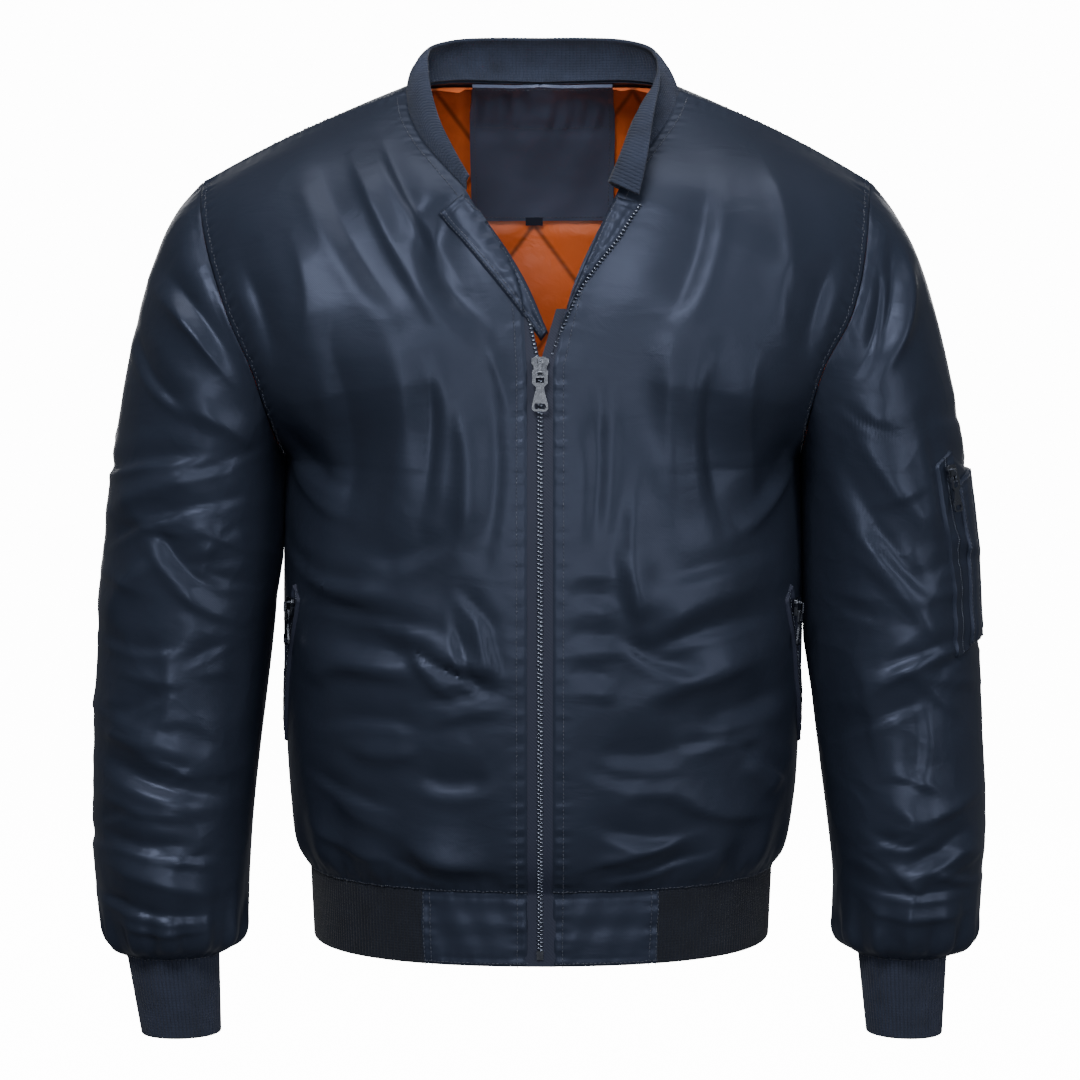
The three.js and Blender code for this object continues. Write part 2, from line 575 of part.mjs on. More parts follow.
// A panel as its flat facets: gives the point and the outward direction at any [u, v] of its grid,
// so that what lies on the panel follows them.
function facetsOf(sheet, columns, rows) {
  const ids = rows.map((v) => columns.map((u) => netPoint(sheet.at(u, v))));
  const cellOf = (lines, value) => {
    const next = lines.findIndex((line) => line > value);
    return next < 0 ? lines.length - 2 : Math.max(0, next - 1);
  };
  return (u, v) => {
    const [i, j] = [cellOf(rows, v), cellOf(columns, u)];
    const s = (u - columns[j]) / (columns[j + 1] - columns[j]);
    const t = (v - rows[i]) / (rows[i + 1] - rows[i]);
    const [a, b, c, d] = [ids[i][j], ids[i][j + 1], ids[i + 1][j + 1], ids[i + 1][j]];
    const shares = s > t ? [[a, 1 - s], [b, s - t], [c, t]] : [[a, 1 - t], [d, t - s], [c, s]];
    const sum = (list) => {
      const total = new THREE.Vector3();
      for (const [id, share] of shares) total.addScaledVector(list[id], share);
      return total;
    };
    return { p: sum(net.points), n: sum(net.normals) };
  };
}

const steps = (from, to, count) =>
  Array.from({ length: count + 1 }, (_, i) => from + ((to - from) * i) / count);

// Rows of the grid, from the hem to the shoulder
const ROWS = steps(0, TOP_ROW, Math.round(TOP_ROW / ROW_STEP));
const BODY_MIDDLE = { y: 8, shoulderZ: -150, rise: 0.4 };
const awayFromBody = (p) =>
  new THREE.Vector3(
    p.x,
    p.y - BODY_MIDDLE.y,
    BODY_MIDDLE.rise * Math.max(0, p.z - BODY_MIDDLE.shoulderZ),
  );

for (const hand of ["left", "right"]) {
  const { front, back } = halves[hand];
  addGrid("front_" + hand, ROWS.map((row) => COLUMNS.map((u) => front.at(u, row))), awayFromBody);
  addGrid("back", ROWS.map((row) => COLUMNS.map((u) => back.at(u, row))), awayFromBody);
}

// The zip tapes fill the space between the fronts, and part above the slider, each with its front.
const ZIP_TOP_ROW = 8;
const ZIP_END_ROW = ZIP_TOP_ROW + ROW_STEP;
const TEETH_AT_ZIP_END = { left: -9, right: 13 };
for (const hand of ["left", "right"]) {
  const rows = ROWS.filter((row) => row < ZIP_END_ROW + MERGE);
  const tape = rows.map((row) => {
    const edge = halves[hand].front.at(0, row);
    const teeth = row > ZIP_TOP_ROW + MERGE ? TEETH_AT_ZIP_END[hand] : 0;
    return [edge, new THREE.Vector3(teeth, edge.y, edge.z)];
  });
  addGrid("zip_tape_" + hand, tape, awayFromBody);
}

// The hem band hangs from the lowest row of the fronts and back, and draws in a little.
const HEM_LEVELS = [0, 0.5, 1];
function bandBelow(line) {
  return HEM_LEVELS.map((level) =>
    line.map((p) => {
      const inward = new THREE.Vector3(-p.x, BODY_MIDDLE.y - p.y, 0).normalize();
      const lower = p.clone().addScaledVector(inward, HEM_TAPER * level);
      lower.z = p.z - HEM_DROP * level;
      if (Math.abs(p.x) < MERGE) lower.x = p.x;
      return lower;
    }),
  );
}
const frontHem = (hand) => COLUMNS.map((u) => halves[hand].front.at(u, 0));
const backHem = (hand) => COLUMNS.map((u) => halves[hand].back.at(u, 0));
for (const hand of ["left", "right"]) {
  const line = frontHem(hand);
  addGrid("hem_panel_" + hand, bandBelow(line.slice(0, HEM_JOINT_COLUMN + 1)), awayFromBody);
  addGrid("hem_rib", bandBelow(line.slice(HEM_JOINT_COLUMN)), awayFromBody);
  addGrid("hem_rib", bandBelow(backHem(hand)), awayFromBody);
  const zipFoot = [line[0], new THREE.Vector3(0, line[0].y, line[0].z)];
  addGrid("zip_tape_" + hand, bandBelow(zipFoot), awayFromBody);
}

// The sleeves start on the armhole's own points and end at the cuff seam.
const ROUND = steps(0, 1, SLEEVE_ROUND);
const RINGS = steps(0, SLEEVE_END, SLEEVE_RINGS);
// The middle line of an arm: where it starts, and how far it drops, spreads and comes forward
const ARM_MIDDLE = { x: 236, z: -175, drop: 505, spread: 56, forward: 26 };
for (const hand of ["left", "right"]) {
  const sign = HANDS[hand];
  const rings = RINGS.map((section) => ROUND.map((round) => sleeves[hand].at(round, section)));
  const middle = (p) => {
    const level = THREE.MathUtils.clamp((ARM_MIDDLE.z - p.z) / ARM_MIDDLE.drop, 0, 1);
    const x = sign * (ARM_MIDDLE.x + ARM_MIDDLE.spread * level);
    return new THREE.Vector3(p.x - x, p.y + ARM_MIDDLE.forward * level, 0);
  };
  addGrid("sleeve_" + hand, rings, middle);
  const seam = rings[rings.length - 1];
  const centre = seam.slice(0, -1).reduce((sum, p) => sum.add(p), new THREE.Vector3());
  centre.divideScalar(SLEEVE_ROUND);
  const cuff = HEM_LEVELS.map((level) =>
    seam.map((p) => {
      const inward = centre.clone().sub(p).setZ(0).normalize();
      const lower = p.clone().addScaledVector(inward, CUFF_TAPER * level);
      lower.x -= sign * CUFF_LEAN[hand] * level;
      lower.z -= CUFF_DROP * level;
      return lower;
    }),
  );
  addGrid("cuff_" + hand, cuff, middle);
}

// The collar is a rib band on the neck seam. Each of its lines passes through the middle and
// the free edge that the tables give.
const COLLAR_ROWS = ROWS.filter((row) => row > COLLAR_ROW - MERGE);
const tableRow = (row) => row - COLLAR_ROW;
function collarLine(seam, middle, edge) {
  return steps(0, 1, COLLAR_STEPS).map((t) => {
    const along = (a, b, c) => a + t * (4 * b - 3 * a - c) + 2 * t * t * (a + c - 2 * b);
    return new THREE.Vector3(
      along(seam.x, middle.x, edge.x),
      along(seam.y, middle.y, edge.y),
      along(seam.z, middle.z, edge.z),
    );
  });
}
for (const hand of ["left", "right"]) {
  const sign = HANDS[hand];
  const table = hand === "left" ? COLLAR_RIGHT_SIDE : COLLAR_LEFT_SIDE;
  const point = (from, row, x, y, z) => {
    const at = (column) => columnAt(from, column, tableRow(row));
    return new THREE.Vector3(sign * at(x), at(y), at(z));
  };
  const shoulder = table[table.length - 1];
  const backTable = COLLAR_BACK.map((line) => ({ ...line }));
  Object.assign(backTable[backTable.length - 1], {
    mid: shoulder.midX,
    midY: shoulder.midY,
    midZ: shoulder.midZ,
    edge: shoulder.edgeX,
    edgeY: shoulder.edgeY,
    edgeZ: shoulder.edgeZ,
  });
  const frontLines = COLLAR_ROWS.map((row) =>
    collarLine(
      halves[hand].front.at(0, row),
      point(table, row, "midX", "midY", "midZ"),
      point(table, row, "edgeX", "edgeY", "edgeZ"),
    ),
  );
  const backLines = COLLAR_ROWS.map((row) =>
    collarLine(
      halves[hand].back.at(0, row),
      point(backTable, row, "mid", "midY", "midZ"),
      point(backTable, row, "edge", "edgeY", "edgeZ"),
    ),
  );
  const awayFromNeck = (p) => new THREE.Vector3(p.x, p.y, 0);
  addGrid("collar", frontLines, awayFromNeck);
  addGrid("collar", backLines, awayFromNeck);
}

findNormals();
const panels = {};
for (const hand of ["left", "right"]) {
  const armPanel = facetsOf(sleeves[hand], ROUND, RINGS);
  panels[hand] = {
    front: facetsOf(halves[hand].front, COLUMNS, ROWS),
    back: facetsOf(halves[hand].back, COLUMNS, ROWS),
    sleeve: (round, section) => armPanel(round - Math.floor(round), section),
  };
}

const root = new THREE.Group();
function add(name, geometry, finish, parent = root) {
  const mesh = new THREE.Mesh(geometry, finish.clone());
  mesh.name = name;
  parent.add(mesh);
  return mesh;
}

for (const hand of ["left", "right"]) {
  add("front_" + hand, sewnPiece("front_" + hand, SHELL_WALL), NYLON);
  add("sleeve_" + hand, sewnPiece("sleeve_" + hand, SHELL_WALL), NYLON);
  add("cuff_" + hand, sewnPiece("cuff_" + hand, RIB_WALL), RIB_KNIT);
  add("hem_panel_" + hand, sewnPiece("hem_panel_" + hand, SHELL_WALL), NYLON);
  add("zip_tape_" + hand, sewnPiece("zip_tape_" + hand, TAPE_WALL, LAYER_GAP), TAPE);
}
add("back", sewnPiece("back", SHELL_WALL), NYLON);
add("hem_rib", sewnPiece("hem_rib", RIB_WALL), RIB_KNIT);
add("collar", sewnPiece("collar", RIB_WALL), RIB_KNIT);

// The lining: plain against the shell, and swollen between diagonal quilting lines inside. It
// stops short of the seams, and lies flat behind the neck facing.
const LINING_FOOT_ROW = 0.45;
const LINING_TOP_ROW = TOP_ROW - 0.35;
const LINING_ROWS = [LINING_FOOT_ROW, ...ROWS.slice(1, -1), LINING_TOP_ROW];
const LINING_EDGE = 0.02; // of a half's width, left free beside its outer seam
const FRONT_LINING_FROM = 0.06;
const FRONT_FLAT_ABOVE_ROW = TOP_ROW - 3;
const BACK_FLAT_ABOVE_ROW = 7.9;
const LINING_GAP = 1.32;
const LINING_LIFT = -(SHELL_WALL + LINING_GAP);
function quilt(u, row) {
  const across = (u * (COLUMNS.length - 1)) / QUILT_STEPS;
  const up = row / ROW_STEP / QUILT_STEPS;
  const swell = Math.sin(Math.PI * (up + across)) * Math.sin(Math.PI * (up - across));
  return QUILT_PUFF * Math.sqrt(Math.abs(swell));
}
function liningGrid(panel, rows, firstU, flatAbove) {
  const columns = COLUMNS.map((u) => Math.min(Math.max(u, firstU), 1 - LINING_EDGE));
  return rows.map((row) =>
    columns.map((u) => {
      const flat = row >= flatAbove || row < LINING_ROWS[1];
      return { ...panel(u, row), raise: flat ? 0 : quilt(u, row) };
    }),
  );
}
for (const hand of ["left", "right"]) {
  const grid = liningGrid(panels[hand].front, LINING_ROWS, FRONT_LINING_FROM, FRONT_FLAT_ABOVE_ROW);
  add("lining_front_" + hand, laidPiece([grid], LINING_LIFT, LINING_WALL), LINING);
}
const belowNeck = LINING_ROWS.filter((row) => row < COLLAR_ROW - MERGE);
const NECK_LINE = COLLAR_ROW - 0.1; // the lining stays this much below the neck seam
const BESIDE_NECK = 0.035; // and this far beside it
const besideNeck = [NECK_LINE, ...LINING_ROWS.filter((row) => row > COLLAR_ROW + MERGE)];
const backLining = ["left", "right"].flatMap((hand) => [
  liningGrid(panels[hand].back, [...belowNeck, NECK_LINE], 0, BACK_FLAT_ABOVE_ROW),
  liningGrid(panels[hand].back, besideNeck, 0, BACK_FLAT_ABOVE_ROW).map((line, i) =>
    i === 0 ? line : line.map((place, j) => (j > 0 ? place : nudgedFromNeck(hand, besideNeck[i]))),
  ),
]);
function nudgedFromNeck(hand, row) {
  return { ...panels[hand].back(BESIDE_NECK, row), raise: 0 };
}
add("lining_back", laidPiece(backLining, LINING_LIFT, LINING_WALL), LINING);

// The neck facing lies on the lining below the back of the neck, with a size tab at its lower edge.
const FACING = { left: -57, right: 61, foot: -95, belowSeam: 11 };
const FACING_GRID = { down: 8, across: 12 };
const FACING_GAP = 1.8;
const FACING_LIFT = LINING_LIFT - LINING_WALL - FACING_GAP;
const TAB = { left: -12, right: 2.4, top: -92, foot: -99, wall: 0.8 };
const BELOW_BACK_NECK = [0.1, 9];
function backPlace(x, z) {
  const hand = x < 0 ? "left" : "right";
  return panels[hand].back(...placeOver(halves[hand].back, x, z, BELOW_BACK_NECK));
}
function neckHeight(x) {
  const STEP = 0.05;
  const hand = x < 0 ? "left" : "right";
  let row = COLLAR_ROW;
  while (BACK_EDGE(hand, row) < Math.abs(x)) row += STEP;
  return BACK_EDGE("z", row);
}
const facing = steps(0, 1, FACING_GRID.down).map((down) =>
  steps(FACING.left, FACING.right, FACING_GRID.across).map((x) =>
    backPlace(x, THREE.MathUtils.lerp(neckHeight(x) - FACING.belowSeam, FACING.foot, down)),
  ),
);
add("neck_facing", laidPiece([facing], FACING_LIFT, STRIP_WALL), NYLON);
const tab = [TAB.top, TAB.foot].map((z) => [TAB.left, TAB.right].map((x) => backPlace(x, z)));
add("size_tab", laidPiece([tab], FACING_LIFT - STRIP_WALL - LAYER_GAP, TAB.wall), NYLON);

// The open neck turns each front edge outward. Its inner edge [inX, inZ] is the fold, and its outer
// edge is free: the wide flap behind the zip on one side, the facing and zip tape on the other.
const WIND_FLAP = [
  { inX: 6, inZ: -182, outX: 1, outZ: -188 },
  { inX: -8, inZ: -150, outX: -24, outZ: -156 },
  { inX: -21, inZ: -127, outX: -42, outZ: -134 },
  { inX: -34, inZ: -108, outX: -59, outZ: -114 },
  { inX: -47, inZ: -90, outX: -71, outZ: -101 },
  { inX: -58, inZ: -76, outX: -79, outZ: -92 },
];
const FRONT_FACING = [
  { inX: 25, inZ: -152, outX: 29, outZ: -153 },
  { inX: 34, inZ: -131, outX: 43, outZ: -133 },
  { inX: 43, inZ: -111, outX: 60, outZ: -112 },
  { inX: 51, inZ: -93, outX: 71, outZ: -95 },
  { inX: 58, inZ: -79, outX: 78, outZ: -85 },
];
const TURNED_LIFT = STRIP_WALL + LAYER_GAP;
const TURNED_ROLL = 1.4; // how much higher the folded edge stands than the free one
const TURNED_STEPS = { down: 2, across: 3 }; // down is for each row of its table
const BESIDE_ZIP_TOP = [0.05, 9];
function turnedEdge(hand, table) {
  const half = halves[hand].front;
  const end = table.length - 1;
  return steps(0, end, TURNED_STEPS.down * end).map((row) =>
    steps(0, 1, TURNED_STEPS.across).map((across) => {
      const mixed = (from, to) =>
        THREE.MathUtils.lerp(columnAt(table, from, row), columnAt(table, to, row), across);
      const [x, z] = [mixed("inX", "outX"), mixed("inZ", "outZ")];
      const [u, bodyRow] = placeOver(half, x, z, BESIDE_ZIP_TOP);
      return { ...panels[hand].front(u, bodyRow), raise: TURNED_ROLL * (1 - across) };
    }),
  );
}
add("wind_flap", laidPiece([turnedEdge("left", WIND_FLAP)], TURNED_LIFT, STRIP_WALL), NYLON);
add("front_facing", laidPiece([turnedEdge("right", FRONT_FACING)], TURNED_LIFT, STRIP_WALL), NYLON);

// A ribbon of cloth along a line [u, v] of a surface, from one end to the other.
const RIBBON_LIFT = TAPE_WALL + 2 * LAYER_GAP;
const between = (from, to, t) => [0, 1].map((i) => THREE.MathUtils.lerp(from[i], to[i], t));
function ribbon(panel, from, to, [acrossU, acrossV], count) {
  return steps(0, 1, count).map((t) => {
    const [u, v] = between(from, to, t);
    return [-1, 0, 1].map((side) => panel(u + side * acrossU, v + side * acrossV));
  });
}

// The slanted hand pockets open at the sides of the fronts, under a zip each.
const POCKET_TOP = [0.74, 4.45];
const POCKET_FOOT = [0.95, 2.7];
const POCKET_ACROSS = [0.022, 0.09]; // from its middle line to its edge
const POCKET_STEPS = 14;
for (const hand of ["left", "right"]) {
  const strip = ribbon(panels[hand].front, POCKET_TOP, POCKET_FOOT, POCKET_ACROSS, POCKET_STEPS);
  add("pocket_zip_" + hand, laidPiece([strip], RIBBON_LIFT, TAPE_WALL), TAPE);
}

// The wearer's left sleeve carries a zipped pocket, and a patch with pen slots that wraps round it.
const ARM_POCKET_TOP = [0.125, 4.55];
const ARM_POCKET_FOOT = [0.125, 7.15];
const ARM_POCKET_ACROSS = [0.025, 0];
const ARM_POCKET_STEPS = 15;
const PEN_PATCH = { behind: -0.104, front: 0.094, top: 5.05, foot: 7.1 };
const PATCH_LIFT = STRIP_WALL + LAYER_GAP;
const armStrip = ribbon(
  panels.right.sleeve,
  ARM_POCKET_TOP,
  ARM_POCKET_FOOT,
  ARM_POCKET_ACROSS,
  ARM_POCKET_STEPS,
);
add("arm_pocket", laidPiece([armStrip], RIBBON_LIFT, TAPE_WALL), NYLON);
const linesWithin = (lines, from, to) => [from, ...lines.filter((at) => at > from && at < to), to];
const roundTwice = [...ROUND.map((round) => round - 1), ...ROUND];
const patchRounds = linesWithin(roundTwice, PEN_PATCH.behind, PEN_PATCH.front);
const patch = linesWithin(RINGS, PEN_PATCH.top, PEN_PATCH.foot).map((section) =>
  patchRounds.map((round) => panels.right.sleeve(round, section)),
);
add("pen_patch", laidPiece([patch], PATCH_LIFT, STRIP_WALL), NYLON);

// A slider and its pull, in a frame of their own: +Z up the zip and -Y away from the cloth. The
// pull's top bar lies in the bridge of the slider, and turns about it.
const SLIDER = {
  plateHalf: [[4.4, -8], [5.2, 0], [7, 3.5], [6.6, 6.5], [3.5, 8.2]],
  plateDepth: 3.2,
  bridge: [[3, 5.6], [7.7, 3.6], [7.7, -4.4], [6, -6.4], [3, -6.4]],
  bridgeHole: [[3.2, 3.2], [6.3, 3.2], [6.3, -4.8], [3.2, -4.8]],
  bridgeWidth: 3.2,
};
const PULL = {
  outlineHalf: [
    [5.2, 1],
    [6, 0],
    [6, -9.6],
    [4.6, -11],
    [3.3, -12.2],
    [3.3, -15],
    [6.2, -26],
    [6.2, -29.4],
    [4.6, -31],
  ],
  windowHalf: [[3.2, -1], [3.2, -9.2]],
  eyeHalf: [[3, -24.9], [4.4, -26.2], [4.4, -28.2], [3, -29.5]],
  depth: 1.6,
  axisOut: 4.75,
  axisUp: -3.2,
};
// Both halves of an outline that is the same to the left and right.
const mirrored = (half) => [...half, ...half.map(([x, y]) => [-x, y]).reverse()];
function shapeOf(points) {
  const corners = points.map(([x, y]) => new THREE.Vector2(x, y));
  return new THREE.Shape(THREE.ShapeUtils.isClockWise(corners) ? corners.reverse() : corners);
}
const wasm = await Module();
wasm.setup();
function toSolid(geometry) {
  const bare = geometry.clone();
  bare.deleteAttribute("normal");
  bare.deleteAttribute("uv");
  const SAME_POINT = 1e-4;
  const merged = mergeVertices(bare, SAME_POINT);
  const triVerts = new Uint32Array(merged.index.array);
  const vertProperties = merged.attributes.position.array;
  return new wasm.Manifold(new wasm.Mesh({ numProp: 3, vertProperties, triVerts }));
}
function toGeometry(solid) {
  const mesh = solid.getMesh();
  const geometry = new THREE.BufferGeometry();
  geometry.setAttribute("position", new THREE.BufferAttribute(mesh.vertProperties, 3));
  geometry.setIndex(new THREE.BufferAttribute(mesh.triVerts, 1));
  geometry.computeVertexNormals();
  return geometry;
}
function sliderGeometry() {
  const flat = (shape, depth) => new THREE.ExtrudeGeometry(shape, { depth, bevelEnabled: false });
  const plate = flat(shapeOf(mirrored(SLIDER.plateHalf)), SLIDER.plateDepth).rotateX(Math.PI / 2);
  const profile = shapeOf(SLIDER.bridge);
  profile.holes.push(shapeOf(SLIDER.bridgeHole));
  const bridge = flat(profile, SLIDER.bridgeWidth);
  const upright = new THREE.Matrix4().makeBasis(
    new THREE.Vector3(0, -1, 0),
    new THREE.Vector3(0, 0, 1),
    new THREE.Vector3(-1, 0, 0),
  );
  bridge.applyMatrix4(upright).translate(SLIDER.bridgeWidth / 2, 0, 0);
  return toGeometry(toSolid(plate).add(toSolid(bridge)));
}
function pullGeometry() {
  const shape = shapeOf(mirrored(PULL.outlineHalf));
  shape.holes.push(shapeOf(mirrored(PULL.windowHalf)));
  shape.holes.push(shapeOf(mirrored(PULL.eyeHalf)));
  const plate = new THREE.ExtrudeGeometry(shape, { depth: PULL.depth, bevelEnabled: false });
  return plate.rotateX(Math.PI / 2).translate(0, PULL.depth / 2, 0);
}
// Sets a slider on a place {p, n} of the cloth, its own z towards the given direction.
function addSlider(name, { p, n }, up, lift, size) {
  const outward = n.clone().normalize();
  const z = up.clone().addScaledVector(outward, -outward.dot(up)).normalize();
  const y = outward.clone().negate();
  const frame = new THREE.Group();
  frame.quaternion.setFromRotationMatrix(new THREE.Matrix4().makeBasis(y.clone().cross(z), y, z));
  frame.position.copy(p).addScaledVector(outward, lift);
  frame.scale.setScalar(size);
  root.add(frame);
  add("slider_" + name, sliderGeometry(), NICKEL, frame);
  const pull = add("pull_" + name, pullGeometry(), NICKEL, frame);
  pull.position.set(0, -PULL.axisOut, PULL.axisUp);
}
const SLIDER_GAP = 0.35;
const POCKET_SLIDER_SIZE = 0.88;
const POCKET_SLIDER_AT = 0.1; // of the way down the pocket
const MAIN_SLIDER_ROW = 7.96;
const UP = new THREE.Vector3(0, 0, 1);
const zipPlace = panels.right.front(0, MAIN_SLIDER_ROW);
zipPlace.p.x = 0;
zipPlace.n.x = 0;
addSlider("main", zipPlace, UP, SLIDER_GAP - LAYER_GAP, 1);
for (const hand of ["left", "right"]) {
  const place = panels[hand].front(...between(POCKET_TOP, POCKET_FOOT, POCKET_SLIDER_AT));
  addSlider("pocket_" + hand, place, UP, RIBBON_LIFT + SLIDER_GAP, POCKET_SLIDER_SIZE);
}
const armPlace = panels.right.sleeve(...between(ARM_POCKET_TOP, ARM_POCKET_FOOT, POCKET_SLIDER_AT));
const armZip = armStrip[0][1].p.clone().sub(armStrip[armStrip.length - 1][1].p);
addSlider("arm", armPlace, armZip, RIBBON_LIFT + SLIDER_GAP, POCKET_SLIDER_SIZE);

export default root;
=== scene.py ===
# A padded nylon bomber jacket, filled out as if worn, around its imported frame. Blender's units are
# metres. The sizes in this file are in millimetres unless their comment says otherwise, and MM
# turns them to metres. Left and right are as the viewer in front of the jacket sees them.
import math

import bpy
import numpy as np
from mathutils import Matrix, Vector


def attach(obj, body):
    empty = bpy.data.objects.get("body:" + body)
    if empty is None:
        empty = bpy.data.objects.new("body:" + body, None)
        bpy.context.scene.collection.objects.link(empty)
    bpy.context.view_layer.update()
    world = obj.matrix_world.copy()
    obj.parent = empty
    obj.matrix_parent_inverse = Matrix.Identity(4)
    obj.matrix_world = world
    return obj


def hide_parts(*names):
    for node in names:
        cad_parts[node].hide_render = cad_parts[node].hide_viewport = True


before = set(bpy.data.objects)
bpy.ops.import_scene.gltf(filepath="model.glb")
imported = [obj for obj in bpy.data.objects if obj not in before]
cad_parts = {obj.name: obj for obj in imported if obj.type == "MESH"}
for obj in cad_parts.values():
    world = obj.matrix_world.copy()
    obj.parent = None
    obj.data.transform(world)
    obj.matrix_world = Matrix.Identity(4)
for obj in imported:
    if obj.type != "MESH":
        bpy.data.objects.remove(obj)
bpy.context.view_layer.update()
MM = 0.001

# The photograph's viewpoint: a long lens, level with the chest and tilted a little down. The
# square picture spans 864 mm at the zip's depth.
VIEW_DISTANCE = 3000
VIEW_TILT = 5  # degrees
VIEW_HEIGHT = -352
VIEW_SPAN = 864
SENSOR = 36
tilt = math.radians(VIEW_TILT)
lens = bpy.data.cameras.new("camera")
lens.sensor_width = SENSOR
lens.lens = SENSOR * VIEW_DISTANCE / VIEW_SPAN
camera = bpy.data.objects.new("camera", lens)
offset = Vector((0, -math.cos(tilt), math.sin(tilt))) * VIEW_DISTANCE
camera.location = (Vector((0, 0, VIEW_HEIGHT)) + offset) * MM
camera.rotation_euler = (math.radians(90) - tilt, 0, 0)
bpy.context.scene.collection.objects.link(camera)
bpy.context.scene.camera = camera

# The studio: a plain pale floor well below the jacket, pale walls that only the camera sees, and
# five soft lights: key, fill and front round the camera, one overhead, and a broad one behind.
FLOOR_HEIGHT = -1100
FLOOR_REACH = 9000
ROOM_RADIUS = 8000
ROOM_GLOW = 14
SHARP_ANGLE = 55  # degrees, from which on an edge between faces is not smoothed


def linear(code):
    """The linear colour of an sRGB hex code."""
    channels = [int(code[i : i + 2], 16) / 255 for i in (1, 3, 5)]
    curve = [c / 12.92 if c <= 0.04045 else ((c + 0.055) / 1.055) ** 2.4 for c in channels]
    return (*curve, 1)


def add_node(tree, kind, inputs=None, **settings):
    """Adds a node with its settings. Inputs are values or sockets, by the input's name or number."""
    node = tree.nodes.new(kind)
    for name, value in settings.items():
        setattr(node, name, value)
    for name, value in (inputs or {}).items():
        if isinstance(value, bpy.types.NodeSocket):
            tree.links.new(value, node.inputs[name])
        else:
            node.inputs[name].default_value = value
    return node


def new_finish(name):
    """An empty material."""
    finish = bpy.data.materials.new(name)
    finish.use_nodes = True
    finish.node_tree.nodes.clear()
    return finish


def coat(finish, inputs, kind="ShaderNodeBsdfPrincipled"):
    """Gives a material the one shader that covers its surface."""
    shader = add_node(finish.node_tree, kind, inputs)
    add_node(finish.node_tree, "ShaderNodeOutputMaterial", {"Surface": shader.outputs[0]})
    return finish


def add_object(name, points, faces, finish, smooth=True):
    """A mesh object at the origin from points in millimetres. A -1 fills up a three-cornered face."""
    mesh = bpy.data.meshes.new(name)
    corners = [[v for v in face if v >= 0] for face in np.asarray(faces).tolist()]
    mesh.from_pydata((np.asarray(points) * MM).tolist(), [], corners)
    mesh.materials.append(finish)
    if smooth:
        mesh.shade_smooth()
        mesh.set_sharp_from_angle(angle=math.radians(SHARP_ANGLE))
    made = bpy.data.objects.new(name, mesh)
    bpy.context.scene.collection.objects.link(made)
    return made


paint = coat(
    new_finish("matt_floor_paint"),
    {
        "Base Color": linear("#f4f4f2"),
        "Roughness": 0.9,
        "Emission Color": linear("#ffffff"),
        "Emission Strength": ROOM_GLOW,
    },
)
corners = [(x, y, FLOOR_HEIGHT) for x, y in ((-1, -1), (1, -1), (1, 1), (-1, 1))]
floor_points = [(x * FLOOR_REACH, y * FLOOR_REACH, z) for x, y, z in corners]
floor = add_object("floor", floor_points, [(0, 1, 2, 3)], paint, smooth=False)

walls = {"Color": linear("#ffffff"), "Strength": ROOM_GLOW}
glow = coat(new_finish("pale_wall"), walls, "ShaderNodeEmission")
bpy.ops.mesh.primitive_uv_sphere_add(radius=ROOM_RADIUS * MM, segments=32, ring_count=16)
room = bpy.context.object
room.name = "room"
room.data.materials.append(glow)
room.visible_diffuse = room.visible_glossy = room.visible_transmission = room.visible_shadow = False
floor.visible_diffuse = floor.visible_glossy = False

world = bpy.data.worlds.new("studio")
world.use_nodes = True
sky = world.node_tree.nodes["Background"].inputs
sky["Color"].default_value = linear("#dfe4ee")
sky["Strength"].default_value = 0.16
bpy.context.scene.world = world
LIGHTS = [
    # name, place in metres, width and height in metres, power in watts
    ("key", (-0.7, -2.4, 1.7), (1.3, 0.9), 62),
    ("fill", (1.9, -2.0, 0.4), (0.8, 1.9), 22),
    ("top", (0.0, -0.3, 2.0), (2.2, 1.0), 26),
    ("front", (0.1, -3.2, -0.1), (0.9, 0.9), 20),
    ("back", (0.0, 3.0, 0.2), (3.0, 1.8), 34),
]
for name, place, (width, height), power in LIGHTS:
    panel = bpy.data.lights.new(name, "AREA")
    panel.shape = "RECTANGLE"
    panel.size = width
    panel.size_y = height
    panel.energy = power
    lamp = bpy.data.objects.new(name, panel)
    lamp.location = place
    aim = Vector((0, 0, VIEW_HEIGHT * MM)) - Vector(place)
    lamp.rotation_euler = aim.to_track_quat("-Z", "Y").to_euler()
    bpy.context.scene.collection.objects.link(lamp)

# The shell's fronts and back: padded navy nylon, cut in one piece each and sewn at the shoulders,
# sides and armholes. Each row of a table runs from the middle of the body to its side, and the
# rows go up from the hem to the shoulder seam.
SHELL_WALL = 2.2
TOP_ROW = 14
COLLAR_ROW = 10  # where the collar starts
HANDS = {"left": -1, "right": 1}


def table(columns, rows):
    """A table with named columns, as one array of numbers for each name."""
    return dict(zip(columns.split(), np.array(rows, float).T))


# The front edge of each front: up the zip, out along the open neck and round the neck seam.
ZIP_EDGE = table(
    "z y left right",
    [
        (-616, -129, 10, 10),
        (-592, -141, 10, 10),
        (-550, -147, 10, 10),
        (-488, -151, 10, 10),
        (-420, -152, 10, 10),
        (-348, -150, 10, 10),
        (-292, -145, 10, 10),
        (-247, -139, 10, 10),
        (-207, -133, 10, 10),
    ],
)
OPEN_NECK = table("z y left right", [(-207, -133, 10, 10), (-142, -119, 18, 27), (-72, -90, 58, 61)])
FRONT_NECK = table(
    "z y left right",
    [(-72, -90, 58, 61), (-51, -72, 77, 75), (-33, -50, 92, 89), (-14, -26, 102, 102), (5, 0, 106, 110)],
)
